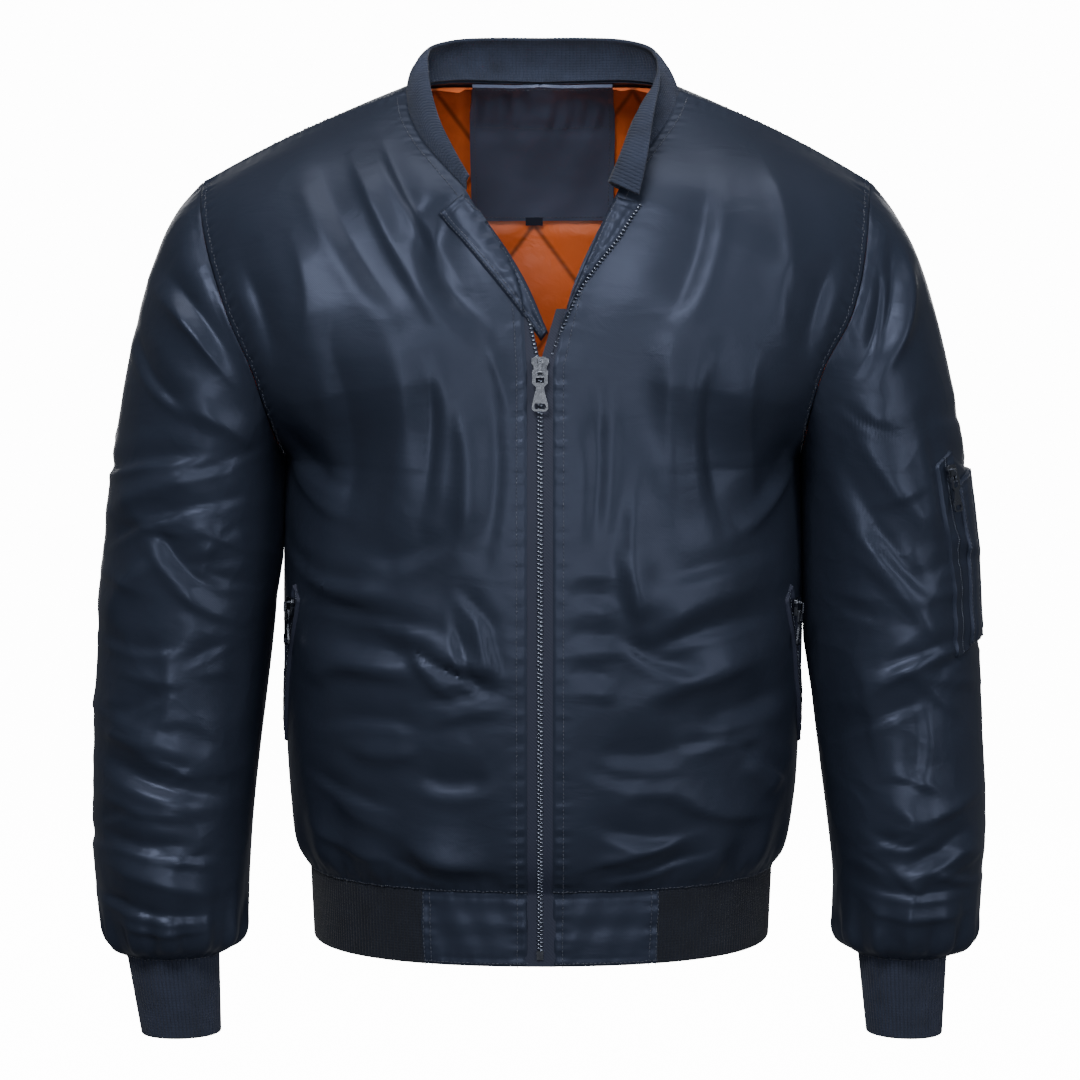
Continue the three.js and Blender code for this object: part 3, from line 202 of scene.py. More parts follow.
# The middle of the back, from the hem to the neck, then the neck seam round to the shoulder.
MIDDLE_BACK = table(
    "z y left right",
    [
        (-616, 124, 0, 0),
        (-592, 137, 0, 0),
        (-545, 144, 0, 0),
        (-468, 149, 0, 0),
        (-388, 153, 0, 0),
        (-310, 156, 0, 0),
        (-240, 157, 0, 0),
        (-174, 154, 0, 0),
        (-110, 145, 0, 0),
        (-47, 121, 0, 0),
        (17, 67, 0, 0),
    ],
)
BACK_NECK = table(
    "z y left right",
    [(17, 67, 0, 0), (18, 62, 37, 38), (18, 48, 70, 72), (14, 26, 95, 98), (5, 0, 106, 110)],
)
# The side seam, then the front and the back half of the armhole up to the shoulder tip.
SIDE_SEAM = table(
    "z y left right",
    [
        (-614, 8, 185, 187),
        (-590, 10, 197, 199),
        (-550, 12, 202, 206),
        (-490, 12, 205, 209),
        (-420, 12, 206, 211),
        (-345, 12, 205.5, 210.5),
        (-284, 12, 204.5, 209),
    ],
)
FRONT_ARMHOLE = table(
    "z y left right",
    [
        (-284, 12, 204.5, 209),
        (-271, -38, 207, 208),
        (-244, -75, 214, 211),
        (-209, -91, 225, 221),
        (-176, -88, 240, 239),
        (-146, -76, 251, 249),
        (-114, -59, 261, 255),
        (-85, -34, 267, 259),
        (-67, 2, 268, 263),
    ],
)
BACK_ARMHOLE = table(
    "z y left right",
    [
        (-284, 12, 204.5, 209),
        (-264, 56, 208, 210),
        (-228, 80, 216, 215),
        (-192, 88, 227, 225),
        (-160, 85, 240, 238),
        (-130, 72, 252, 248),
        (-102, 53, 261, 256),
        (-80, 28, 267, 260),
        (-67, 2, 268, 263),
    ],
)
FRONT_EDGE = (ZIP_EDGE, OPEN_NECK, FRONT_NECK)
BACK_EDGE = (MIDDLE_BACK, BACK_NECK)
FRONT_SIDE = (SIDE_SEAM, FRONT_ARMHOLE)
BACK_SIDE = (SIDE_SEAM, BACK_ARMHOLE)
# How each row runs from its edge to its side, seen from above: the angles at which it leaves and
# arrives, in degrees from straight across, how far it holds them, and how far its middle is raised.
FRONT_SHAPE = table(
    "leave arrive hold turn lift",
    [
        (0, 88, 0.46, 0.42, 0),
        (0, 88, 0.47, 0.43, 0),
        (0, 88, 0.47, 0.43, 0),
        (0, 88, 0.47, 0.43, 0),
        (0, 88, 0.47, 0.43, 0),
        (0, 87, 0.47, 0.42, 0),
        (0, 82, 0.46, 0.42, 0),
        (0, 72, 0.44, 0.4, 0),
        (-2, 64, 0.43, 0.38, 0),
        (-6, 56, 0.4, 0.36, 2),
        (-14, 48, 0.38, 0.34, 5),
        (-22, 40, 0.36, 0.33, 7),
        (-22, 30, 0.34, 0.33, 8),
        (-12, 16, 0.33, 0.33, 7),
        (0, 0, 0.33, 0.33, 6),
    ],
)
BACK_SHAPE = table(
    "leave arrive hold turn lift",
    [
        (0, 88, 0.46, 0.42, 0),
        (0, 88, 0.47, 0.43, 0),
        (0, 88, 0.47, 0.43, 0),
        (0, 88, 0.47, 0.43, 0),
        (0, 88, 0.47, 0.43, 0),
        (0, 87, 0.47, 0.42, 0),
        (0, 82, 0.46, 0.42, 4),
        (0, 72, 0.45, 0.4, 10),
        (-2, 64, 0.44, 0.38, 16),
        (-8, 56, 0.42, 0.36, 22),
        (-30, 46, 0.4, 0.35, 26),
        (-28, 38, 0.38, 0.34, 20),
        (-22, 28, 0.35, 0.33, 14),
        (-10, 14, 0.33, 0.33, 9),
        (0, 0, 0.33, 0.33, 6),
    ],
)

# Folds of the fronts and back, as the photograph shows them, and like ones behind: three places
# [x, z] that each runs through, its width, and its height, which is below zero for a crease.
FRONT_FOLDS = [
    ((-57, -70), (-78, -127), (-34, -176), 17, -7),
    ((-186, -356), (-155, -383), (-108, -378), 15, 5),
    ((-165, -418), (-119, -425), (-69, -424), 14, -5),
    ((-123, -405), (-77, -429), (-24, -444), 14, 7),
    ((-180, -462), (-150, -440), (-84, -452), 16, 6),
    ((-162, -542), (-139, -556), (-108, -568), 16, 4),
    ((-104, -573), (-73, -590), (-24, -594), 15, 5),
    ((88, -410), (123, -387), (184, -375), 20, 8),
    ((61, -346), (70, -379), (77, -406), 13, 5),
    ((77, -464), (123, -448), (169, -436), 17, 6),
    ((115, -482), (158, -474), (190, -462), 15, -6),
    ((154, -514), (172, -530), (188, -545), 16, 5),
    # finer creases between them
    ((-172, -50), (-146, -108), (-104, -168), 17, -4),
    ((-146, -48), (-120, -104), (-84, -168), 10, 3.4),
    ((-124, -30), (-100, -80), (-66, -134), 8, -3.4),
    ((172, -46), (188, -100), (192, -160), 12, 3),
    ((128, -60), (120, -120), (96, -176), 14, -3),
    ((-199, -345), (-168, -371), (-116, -368), 6, -2.6),
    ((-176, -394), (-130, -400), (-72, -410), 6, -2.8),
    ((-112, -412), (-70, -440), (-26, -458), 5, -3.2),
    ((-84, -481), (-54, -473), (-20, -469), 7, 3),
    ((-92, -466), (-60, -461), (-30, -454), 5, -2),
    ((-60, -380), (-46, -396), (-32, -412), 6, -2.4),
    ((-170, -487), (-128, -480), (-88, -486), 7, -2.4),
    ((-178, -526), (-150, -538), (-112, -548), 6, -2.2),
    ((-118, -585), (-80, -604), (-26, -606), 6, -2.4),
    ((-66, -230), (-56, -290), (-64, -350), 15, 4.5),
    ((-116, -180), (-100, -250), (-112, -330), 24, 6),
    ((-88, -210), (-82, -262), (-92, -330), 10, -3.4),
    ((-36, -236), (-32, -290), (-40, -350), 9, -3.2),
    ((-160, -190), (-146, -262), (-152, -330), 15, -4.5),
    ((-205, -250), (-180, -284), (-150, -302), 9, -4),
    ((-196, -282), (-176, -312), (-146, -326), 9, 3.5),
    ((-40, -190), (-30, -220), (-22, -250), 8, 2.4),
    ((-230, -130), (-214, -170), (-204, -214), 11, -3.5),
    ((-190, -110), (-178, -150), (-180, -190), 16, 3),
    ((-72, -330), (-100, -352), (-136, -352), 12, -3.5),
    ((-100, -418), (-84, -446), (-60, -462), 7, 3.5),
    ((-66, -400), (-58, -430), (-48, -452), 6, -3.5),
    ((-50, -398), (-44, -424), (-36, -444), 5.5, 3),
    ((-40, -404), (-34, -428), (-28, -446), 5, -2.6),
    ((-150, -500), (-120, -508), (-88, -500), 12, 4),
    ((-96, -520), (-66, -528), (-36, -520), 11, -3.5),
    ((-180, -570), (-150, -584), (-116, -590), 9, 3),
    ((30, -260), (34, -300), (30, -336), 8, 1.8),
    ((76, -290), (70, -350), (80, -410), 14, 4.5),
    ((104, -180), (100, -250), (112, -330), 22, 5.5),
    ((136, -200), (128, -262), (140, -330), 11, -3.6),
    ((168, -190), (158, -250), (166, -310), 16, 4),
    ((46, -230), (44, -290), (40, -340), 10, -3),
    ((205, -250), (186, -292), (160, -318), 9, -4),
    ((198, -284), (176, -320), (150, -338), 9, 3.5),
    ((226, -130), (212, -170), (206, -214), 11, -3.5),
    ((190, -120), (184, -150), (188, -190), 15, 3),
    ((60, -410), (90, -432), (128, -440), 9, -4),
    ((40, -500), (78, -506), (112, -500), 12, -3.5),
    ((100, -540), (140, -556), (178, -560), 10, 3.5),
    ((44, -560), (80, -570), (112, -568), 9, -3),
    ((96, -370), (132, -362), (178, -352), 8, -2.6),
    ((80, -425), (126, -412), (176, -404), 6, -2.8),
    ((18, -372), (40, -366), (62, -372), 5, 2.2),
    ((18, -386), (36, -382), (54, -386), 4.5, -1.8),
    ((18, -400), (40, -395), (58, -402), 5, 2.2),
    ((18, -416), (38, -412), (60, -418), 4.5, -2),
    ((18, -430), (42, -426), (66, -428), 5, 2.2),
    ((18, -445), (36, -441), (52, -446), 4.5, -1.8),
    ((18, -461), (40, -458), (60, -462), 5, 2),
    ((100, -500), (140, -496), (178, -488), 6, -2.4),
    ((150, -498), (176, -518), (196, -536), 5, -2.4),
    ((31, -596), (77, -582), (123, -569), 8, 3),
    ((40, -606), (84, -596), (130, -584), 5, -2.2),
    ((60, -540), (96, -536), (130, -548), 12, 2.6),
    ((30, -510), (60, -522), (92, -524), 9, -1.8),
]
BACK_FOLDS = [
    ((-150, -330), (-70, -366), (20, -352), 20, 6),
    ((150, -300), (90, -352), (10, -402), 20, -5),
    ((-160, -430), (-60, -452), (40, -440), 20, 6),
    ((160, -470), (80, -500), (-20, -508), 20, 6),
    ((-140, -540), (-60, -560), (30, -566), 18, -5),
    ((-150, -190), (-120, -250), (-110, -300), 22, -6),
    ((152, -180), (126, -240), (112, -290), 22, -6),
    # finer creases between them
    ((-190, -300), (-130, -322), (-70, -318), 8, -3),
    ((-176, -398), (-110, -404), (-40, -398), 7, -3),
    ((-100, -480), (-40, -486), (30, -476), 8, -3),
    ((190, -280), (150, -322), (100, -336), 9, 3.4),
    ((170, -360), (110, -382), (44, -386), 8, 3),
    ((186, -430), (140, -440), (84, -436), 7, -3),
    ((150, -532), (96, -546), (40, -540), 8, 3),
    ((-180, -560), (-130, -580), (-70, -586), 8, 3),
    ((60, -590), (100, -582), (150, -588), 7, -2.4),
    ((-60, -90), (-20, -106), (30, -102), 16, 2.6),
    ((-190, -150), (-150, -172), (-120, -210), 10, -3),
    ((186, -150), (150, -170), (118, -206), 10, -3),
    ((-30, -200), (-38, -260), (-20, -310), 16, 2.4),
]


def column_at(rows, column, row):
    """One column of a table at fractional rows, on a smooth curve through its rows."""
    values = rows[column]
    values = np.concatenate([[2 * values[0] - values[1]], values, [2 * values[-1] - values[-2]]])
    k = np.clip(np.floor(row), 0, len(values) - 4).astype(int)
    t = row - k
    a, b, c, d = (values[k + i] for i in range(4))
    return b + 0.5 * t * (c - a + t * (2 * a - 5 * b + 4 * c - d + t * (3 * b - a - 3 * c + d)))


def along(tables, column, row):
    """One column of tables that follow each other, with a corner where the next one starts."""
    result = column_at(tables[0], column, row)
    first = 0
    for before, after in zip(tables, tables[1:]):
        first += len(before[column]) - 1
        result = np.where(row > first, column_at(after, column, row - first), result)
    return result


def bezier(a, b, c, d, t):
    s = 1 - t
    return s * s * s * a + 3 * s * s * t * b + 3 * s * t * t * c + t * t * t * d


FOLD_LEAN = 0.42  # how much steeper a fold is on its lower side, and gentler on its upper one
FOLD_REACH = 4  # the widths from a fold's line beyond which it is not felt
FOLD_FALL = 1.15  # how fast a fold falls from its crest, and how fast it dies out further off
FOLD_SPREAD = 0.4
FOLD_END = 0.3  # the share of its length over which a fold fades, and what is left at its end
FOLD_REST = 0.25
CREASE_BANK = 0.35  # how high a crease's banks are, how far off, and how wide, in its widths
BANK_AWAY = 1.75
BANK_WIDTH = 0.9
SHARP_CREST = 0.3  # how round a fold's crest is, as a share of its width
LEAST_CREST = 2.4
SOFT_CREST = 0.8
SOFT_WIDTH = 18  # from which width on a fold is a soft drape
SCATTER_TURN = 0.3  # by which share of its slant a small fold bends


def scattered(seed, count, x_range, z_range, angles, lengths, widths, rises):
    """Small folds strewn over an area, each with its own place, slant in degrees, length, width
    and rise. They turn by up to a third of their slant, and half of them are creases."""
    chance = np.random.default_rng(seed)
    folds = []
    for _ in range(count):
        middle = np.array([chance.uniform(*x_range), chance.uniform(*z_range)])
        slant, half = np.radians(chance.uniform(*angles)), chance.uniform(*lengths) / 2
        turn = slant * chance.uniform(-SCATTER_TURN, SCATTER_TURN)
        ends = [
            middle + way * half * np.array([np.cos(angle), np.sin(angle)])
            for way, angle in ((-1, slant - turn), (1, slant + turn))
        ]
        width, rise = chance.uniform(*widths), chance.uniform(*rises) * chance.choice((-1, 1))
        folds.append((tuple(ends[0]), tuple(middle), tuple(ends[1]), width, rise))
    return folds


def fold_relief(x, z, folds):
    """How far the cloth stands out at places [x, z]. A crease has a soft bank on each side."""
    height = np.zeros_like(x)
    stations = np.linspace(0, 1, 13)
    for first, middle, last, width, rise in folds:
        a, b, c = (np.array(p, float) for p in (first, middle, last))
        t = stations[:, None]
        path = a * (2 * t - 1) * (t - 1) + b * 4 * t * (1 - t) + c * t * (2 * t - 1)
        low, high = path.min(0) - FOLD_REACH * width, path.max(0) + FOLD_REACH * width
        near = (x > low[0]) & (x < high[0]) & (z > low[1]) & (z < high[1])
        if not near.any():
            continue
        place = np.stack([x[near], z[near]], -1)[:, None]
        start, step = path[None, :-1], np.diff(path, axis=0)[None]
        above = np.array([a[1] - c[1], c[0] - a[0]])
        above *= np.sign(above[1] + 1e-6) / np.hypot(*above)
        share = np.clip(((place - start) * step).sum(-1) / (step**2).sum(-1), 0, 1)
        away = place - start - share[..., None] * step
        distance = np.hypot(away[..., 0], away[..., 1])
        best = distance.argmin(1)
        rows = np.arange(len(best))
        nearest = distance[rows, best]
        lean = away[rows, best] @ above / np.maximum(nearest, 1e-6)
        d = nearest / width / (1 + FOLD_LEAN * lean)
        t = (best + share[rows, best]) / (len(stations) - 1)
        ends = np.clip(np.minimum(t, 1 - t) / FOLD_END, 0, 1)
        fade = FOLD_REST + (1 - FOLD_REST) * ends * ends * (3 - 2 * ends)
        crest = SOFT_CREST if width > SOFT_WIDTH else max(SHARP_CREST, LEAST_CREST / width)
        slope = np.sqrt(d * d + crest * crest) - crest
        shape = np.exp(-FOLD_FALL * slope - FOLD_SPREAD * d * d)
        if rise < 0:
            shape = shape - CREASE_BANK * np.exp(-(((d - BANK_AWAY) / BANK_WIDTH) ** 2))
        height[near] += rise * fade * shape
    return height


def ripple(length, pitch, phase=0.0):
    """An uneven wave, as of gathered cloth."""
    turn = 2 * np.pi * length / pitch
    return 0.6 * np.sin(turn + phase) + 0.4 * np.sin(0.61 * turn + 1.7 + 2 * phase)


def cross_of(du, dv, sign):
    normal = np.cross(du, dv) * sign
    return normal / np.maximum(np.linalg.norm(normal, axis=-1, keepdims=True), 1e-9)


def surface(plain, relief, sign):
    """A surface with its relief, which stands out from it on the side that sign says."""
    step, step_up = 0.004, 0.05

    def at(u, v):
        du = plain(u + step, v) - plain(u - step, v)
        dv = plain(u, v + step_up) - plain(u, v - step_up)
        points = plain(u, v)
        return points + cross_of(du, dv, sign) * relief(u, v, points)[..., None]

    return at


# How fast folds rise from the seams, which hold the cloth still
FOLD_RISE = {"middle": 9, "side": 6, "top": 0.5}
HEM_GATHER = {"height": 2.6, "row": 0.8, "reach": 0.9, "waves": 9}
HEM_CRIMP = {"height": 2.4, "pitch": 0.062, "reach": 0.6}


def body_half(hand, edge, side, shape, facing, folds):
    """Half of the front or back: u runs from the middle to the side, and row up from the hem."""
    sign = HANDS[hand]

    def plain(u, row):
        x0, y0, z0 = (along(edge, column, row) for column in (hand, "y", "z"))
        x1, y1, z1 = (along(side, column, row) for column in (hand, "y", "z"))
        span = np.hypot(x1 - x0, y1 - y0)
        leave, arrive = (np.radians(column_at(shape, column, row)) for column in ("leave", "arrive"))
        hold, turn = (span * column_at(shape, column, row) for column in ("hold", "turn"))
        x = bezier(x0, x0 + hold * np.cos(leave), x1 - turn * np.cos(arrive), x1, u)
        y = bezier(
            y0, y0 - facing * hold * np.sin(leave), y1 + facing * turn * np.sin(arrive), y1, u
        )
        lift = column_at(shape, "lift", row) * 4 * u * (1 - u)
        return np.stack([sign * x, y, z0 + (z1 - z0) * u + lift], -1)

    def relief(u, row, points):
        middle, side = FOLD_RISE["middle"] * u, FOLD_RISE["side"] * (1 - u)
        if facing > 0:
            middle = np.maximum(middle, COLLAR_ROW - row)
        top = FOLD_RISE["top"] * (TOP_ROW - row)
        fade = np.minimum.reduce([np.ones_like(u), middle, side, row, top])
        level = np.exp(-(((row - HEM_GATHER["row"]) / HEM_GATHER["reach"]) ** 2))
        gather = HEM_GATHER["height"] * np.cos(np.pi * HEM_GATHER["waves"] * u) * level
        crimp = HEM_CRIMP["height"] * ripple(u, HEM_CRIMP["pitch"], 3 * facing + sign)
        fine = crimp * np.exp(-((row / HEM_CRIMP["reach"]) ** 2))
        fold = fold_relief(points[..., 0], points[..., 2], folds)
        return np.maximum(fade, 0) * (fold + gather + fine)

    return surface(plain, relief, -facing * sign)


halves = {}
for hand in HANDS:
    halves[hand] = {
        "front": body_half(hand, FRONT_EDGE, FRONT_SIDE, FRONT_SHAPE, -1, FRONT_FOLDS),
        "back": body_half(hand, BACK_EDGE, BACK_SIDE, BACK_SHAPE, 1, BACK_FOLDS),
    }

EDGE_LINES = (0, 0.00002, 0.0035, 0.0075, 0.013, 0.021)  # grid lines close to a rounded seam
INNER_LINES = (0.03, 0.97)


def grid_lines(count):
    """Lines across a panel from 0 to 1, close together where its seams round off."""
    edge = np.array(EDGE_LINES)
    inner = np.linspace(*INNER_LINES, count)
    return np.concatenate([edge, inner, 1 - edge[::-1]])


def grid_normals(points, sign, wraps=False):
    if wraps:
        ring = np.concatenate([points[:, -2:-1], points, points[:, 1:2]], 1)
        du = (ring[:, 2:] - ring[:, :-2]) / 2
    else:
        du = np.gradient(points, axis=1)
    normals = cross_of(du, np.gradient(points, axis=0), sign)
    # The lines at the very edges lie too close together to give directions of their own.
    normals[:2], normals[-2:] = normals[2], normals[-3]
    if not wraps:
        normals[:, :2], normals[:, -2:] = normals[:, 2:3], normals[:, -3:-2]
    return normals


def lengths_from(points, axis):
    """How far each place of a grid is from its first line, measured along the cloth."""
    steps = np.linalg.norm(np.diff(points, axis=axis), axis=-1)
    start = np.zeros_like(np.take(steps, [0], axis=axis))
    return np.cumsum(np.concatenate([start, steps], axis), axis)


SEAM_DIP = 1.3  # how deep a sewn edge rounds off, and over what distance
SEAM_ROUNDING = 1.2
SEAM_TURN = 2.6  # how deep the very edge is turned in
SEAM_PUCKER = 0.8
PUCKER_PEAK = 4  # how far from the seam puckers are highest, how far they reach in, and out
PUCKER_REACH = 7.5
PUCKER_START = 2.5
PUCKER_PITCH = 9.0
STITCH_DIP = 0.5  # how deep a row of stitches draws the cloth in, how far off, and how wide
STITCH_AWAY = 6.0
STITCH_WIDTH = 1.6


def sewn_edges(points, normals, seams, pucker=SEAM_PUCKER, wraps=False, puckers=None):
    """Rounds a panel's sewn edges off and puckers the cloth beside them. seams says how strongly,
    and puckers gives heights of their own to some of them."""
    across, up = lengths_from(points, 1), lengths_from(points, 0)
    distances = {
        "left": across,
        "right": across[:, -1:] - across,
        "low": up,
        "high": up[-1:] - up,
    }
    moved = np.zeros(points.shape[:2])
    for number, (name, share) in enumerate(seams.items()):
        away = distances[name]
        beside = up if name in ("left", "right") else across
        if wraps:
            beside = np.linspace(0, 1, points.shape[1])[None] * across[:, -1:].mean()
        moved -= share * SEAM_DIP * np.exp(-((away / SEAM_ROUNDING) ** 2))
        moved -= np.where((away < 1e-6) & (np.asarray(share) > 0), SEAM_TURN, 0)
        stitched = np.exp(-(((away - STITCH_AWAY) / STITCH_WIDTH) ** 2))
        moved -= np.minimum(share, 1) * STITCH_DIP * stitched
        strength = np.exp(-(((away - PUCKER_PEAK) / PUCKER_REACH) ** 2))
        strength *= 1 - np.exp(-((away / PUCKER_START) ** 2))
        height = (puckers or {}).get(name, np.sqrt(share) * pucker)
        moved += height * strength * ripple(beside, PUCKER_PITCH, 1.3 * number)
    return points + normals * moved[..., None]


SUNK_REACH = 3  # grid lines


def sunk(points, normals, wraps=False):
    """The places lowered to the deepest of those round them, and the broad directions they face, so
    that what lies beneath a panel stays beneath its creases."""
    rows, columns = (np.arange(count) for count in points.shape[:2])
    steps = range(-SUNK_REACH, SUNK_REACH + 1)
    near = [(i, j) for i in steps for j in steps]

    def shifted(grid, i, j):
        last = len(columns) - 1
        across = (columns + j) % last if wraps else np.clip(columns + j, 0, last)
        return grid[np.clip(rows + i, 0, len(rows) - 1)][:, across]

    broad = sum(shifted(normals, 2 * i, 2 * j) for i, j in near)
    broad /= np.linalg.norm(broad, axis=-1, keepdims=True)
    drops = [((points - shifted(points, i, j)) * broad).sum(-1) for i, j in near]
    return points - broad * np.max(drops, 0)[..., None], broad


BENEATH = ("under", "broad")  # the face of a skin that keeps clear of its creases


def shell_skin(u, v, points, normals, wraps=False):
    """A finished panel: its outer face, and the one beneath its deepest places."""
    under, broad = sunk(points, normals, wraps)
    return {"u": u, "v": v, "points": points, "normals": normals, "under": under, "broad": broad}


def shell_wall(skin, turned, wraps=False):
    hidden = skin["under"] - skin["broad"] * SHELL_WALL
    return wall_mesh(skin["points"], hidden, turned, wraps)


def wall_mesh(shown, hidden, turned, wraps=False, thinning=3):
    """A closed wall between the grid of points that shows and every third line of the hidden one."""
    rows, columns = shown.shape[:2]
    ids = np.arange(rows * columns).reshape(rows, columns)
    kept_rows, kept_columns = (
        np.append(np.arange(0, count - 1, thinning), count - 1) for count in (rows, columns)
    )
    hidden = hidden[np.ix_(kept_rows, kept_columns)]
    hidden_ids = ids.size + np.arange(hidden.size // 3).reshape(hidden.shape[:2])
    if wraps:
        ids[:, -1] = ids[:, 0]
        hidden_ids[:, -1] = hidden_ids[:, 0]

    def quads(of):
        return np.stack([of[:-1, :-1], of[:-1, 1:], of[1:, 1:], of[1:, :-1]], -1).reshape(-1, 4)

    faces = [quads(ids), quads(hidden_ids)[:, ::-1]]
    rims = [
        (ids[0], hidden_ids[0], kept_columns),
        (ids[-1, ::-1], hidden_ids[-1, ::-1], columns - 1 - kept_columns[::-1]),
    ]
    if not wraps:
        rims += [
            (ids[::-1, 0], hidden_ids[::-1, 0], rows - 1 - kept_rows[::-1]),
            (ids[:, -1], hidden_ids[:, -1], kept_rows),
        ]
    for rim, hidden_rim, kept in rims:
        owner = hidden_rim[np.searchsorted(kept, np.arange(len(rim) - 1), side="right") - 1]
        faces.append(np.stack([rim[1:], rim[:-1], owner, np.full_like(owner, -1)], -1))
        closing = [rim[kept[1:]], hidden_rim[:-1], hidden_rim[1:], np.full_like(kept[1:], -1)]
        faces.append(np.stack(closing, -1))
    faces = np.concatenate(faces)
    if turned:
        faces = faces[:, ::-1]
    points = np.concatenate([shown.reshape(-1, 3), hidden.reshape(-1, 3)])
    used = np.unique(faces[faces >= 0])
    place = np.full(len(points) + 1, -1)
    place[used] = np.arange(len(used))
    return points[used], place[faces]


def wall(name, outer, normals, thickness, finish, turned, wraps=False, thinning=3):
    """A closed cloth wall from its outer face to its inner face, thickness beneath."""
    mesh = wall_mesh(outer, outer - normals * thickness, turned, wraps, thinning)
    return add_object(name, *mesh, finish)


SAME_PLACE = 0.02


def merged(parts):
    """Meshes joined where their points meet, without the faces that close on each other there."""
    starts = np.cumsum([0] + [len(points) for points, _ in parts])
    points = np.concatenate([points for points, _ in parts])
    faces = np.concatenate(
        [np.where(faces < 0, -1, faces + start) for (_, faces), start in zip(parts, starts)]
    )
    cells = np.round(points / SAME_PLACE).astype(int)
    _, first, place = np.unique(cells, axis=0, return_index=True, return_inverse=True)
    faces = np.append(place.reshape(-1), -1)[faces]
    _, number, count = np.unique(np.sort(faces, 1), axis=0, return_inverse=True, return_counts=True)
    return points[first], faces[count[number.reshape(-1)] == 1]


# Padded nylon taffeta, woven fine and close: a soft broad sheen, small crinkles from wear, and a
# weave that is drawn at 1.2 mm, because its own 0.15 mm would not show.
WEAVE = 1.2
FACETS = {"size": 44, "drift": 35, "drift_size": 45, "depth": 7}  # the broad facets of soft cloth
CREASES = {"size": 24, "depth": 1.5, "slant": 20, "stretch": (0.55, 1.0, 1.2)}
NYLON_SHEEN = "#adb9dc"


def noise(tree, place, scale, detail, distortion=0.0):
    """The outputs of a noise texture: its height, then its colour."""
    inputs = {"Vector": place, "Scale": scale, "Detail": detail, "Distortion": distortion}
    return add_node(tree, "ShaderNodeTexNoise", inputs).outputs


def wave(tree, place, scale, distortion, direction, detail=2.0):
    """The height of a texture of parallel waves."""
    inputs = {"Vector": place, "Scale": scale, "Distortion": distortion, "Detail": detail}
    return add_node(tree, "ShaderNodeTexWave", inputs, bands_direction=direction).outputs["Fac"]


def bump(tree, height, strength, depth, beneath=None):
    """Directions that a height roughens, on top of those from another bump beneath."""
    inputs = {"Height": height, "Strength": strength, "Distance": depth * MM}
    if beneath is not None:
        inputs["Normal"] = beneath
    return add_node(tree, "ShaderNodeBump", inputs).outputs[0]


def blend(tree, share, low, high):
    """A colour between two others."""
    inputs = {"Factor": share, "A": low, "B": high}
    return add_node(tree, "ShaderNodeMix", inputs, data_type="RGBA").outputs["Result"]


def cloth_finish(name, light, dark, scale, detail):
    """A cloth's material to begin with: the material, its tree, places in metres, and a colour
    that shifts softly between two tones."""
    finish = new_finish(name)
    tree = finish.node_tree
    place = add_node(tree, "ShaderNodeTexCoord").outputs["Object"]
    cloud = noise(tree, place, scale, detail)
    return finish, tree, place, blend(tree, cloud[0], linear(dark), linear(light))


def nylon_finish(name, light, dark, roughness, crinkle, shine=0.52):
    """Crinkled nylon: broad facets, creases drawn out slantwise, and the weave."""
    finish, tree, place, colour = cloth_finish(name, light, dark, 11, 3)
    drift = noise(tree, place, 1 / (FACETS["drift_size"] * MM), 2)
    inputs = {0: drift["Color"], 1: (FACETS["drift"] * MM,) * 3, 2: place}
    carried = add_node(tree, "ShaderNodeVectorMath", inputs, operation="MULTIPLY_ADD")
    inputs = {"Vector": carried.outputs[0], "Scale": 1 / (FACETS["size"] * MM), "Smoothness": 0.12}
    facets = add_node(tree, "ShaderNodeTexVoronoi", inputs, feature="SMOOTH_F1")
    faceted = bump(tree, facets.outputs["Distance"], crinkle, FACETS["depth"])
    slant = (0, math.radians(CREASES["slant"]), 0)
    inputs = {"Vector": place, "Rotation": slant, "Scale": CREASES["stretch"]}
    drawn = add_node(tree, "ShaderNodeMapping", inputs)
    creases = noise(tree, drawn.outputs[0], 1 / (CREASES["size"] * MM), 4, 0.7)
    creased = bump(tree, creases[0], 0.35, CREASES["depth"], faceted)
    inputs = {"Vector": place, "Rotation": (0, math.radians(45), 0)}
    turned = add_node(tree, "ShaderNodeMapping", inputs)
    weave = wave(tree, turned.outputs[0], 1 / (WEAVE * MM * 2 * math.pi) * 2, 1.5, "X")
    return coat(
        finish,
        {
            "Base Color": colour,
            "Roughness": roughness,
            "Specular IOR Level": shine,
            "Specular Tint": linear(NYLON_SHEEN),
            "Normal": bump(tree, weave, 0.12, 0.15, creased),
        },
    )


nylon = nylon_finish("padded_nylon_taffeta", "#2a303e", "#1f242f", 0.41, 0.1)
# The flat pieces are the shell's nylon, given slightly lighter tones as painted light.
flat_nylon_painted_light = nylon_finish("pressed_nylon_taffeta", "#2e3443", "#232834", 0.41, 0.0)
BODY = "jacket"


def finish_cloth(piece, nodes):
    """Hangs a piece of cloth on the jacket's body and hides the CAD nodes that it stands for."""
    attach(piece, BODY)
    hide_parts(*nodes)


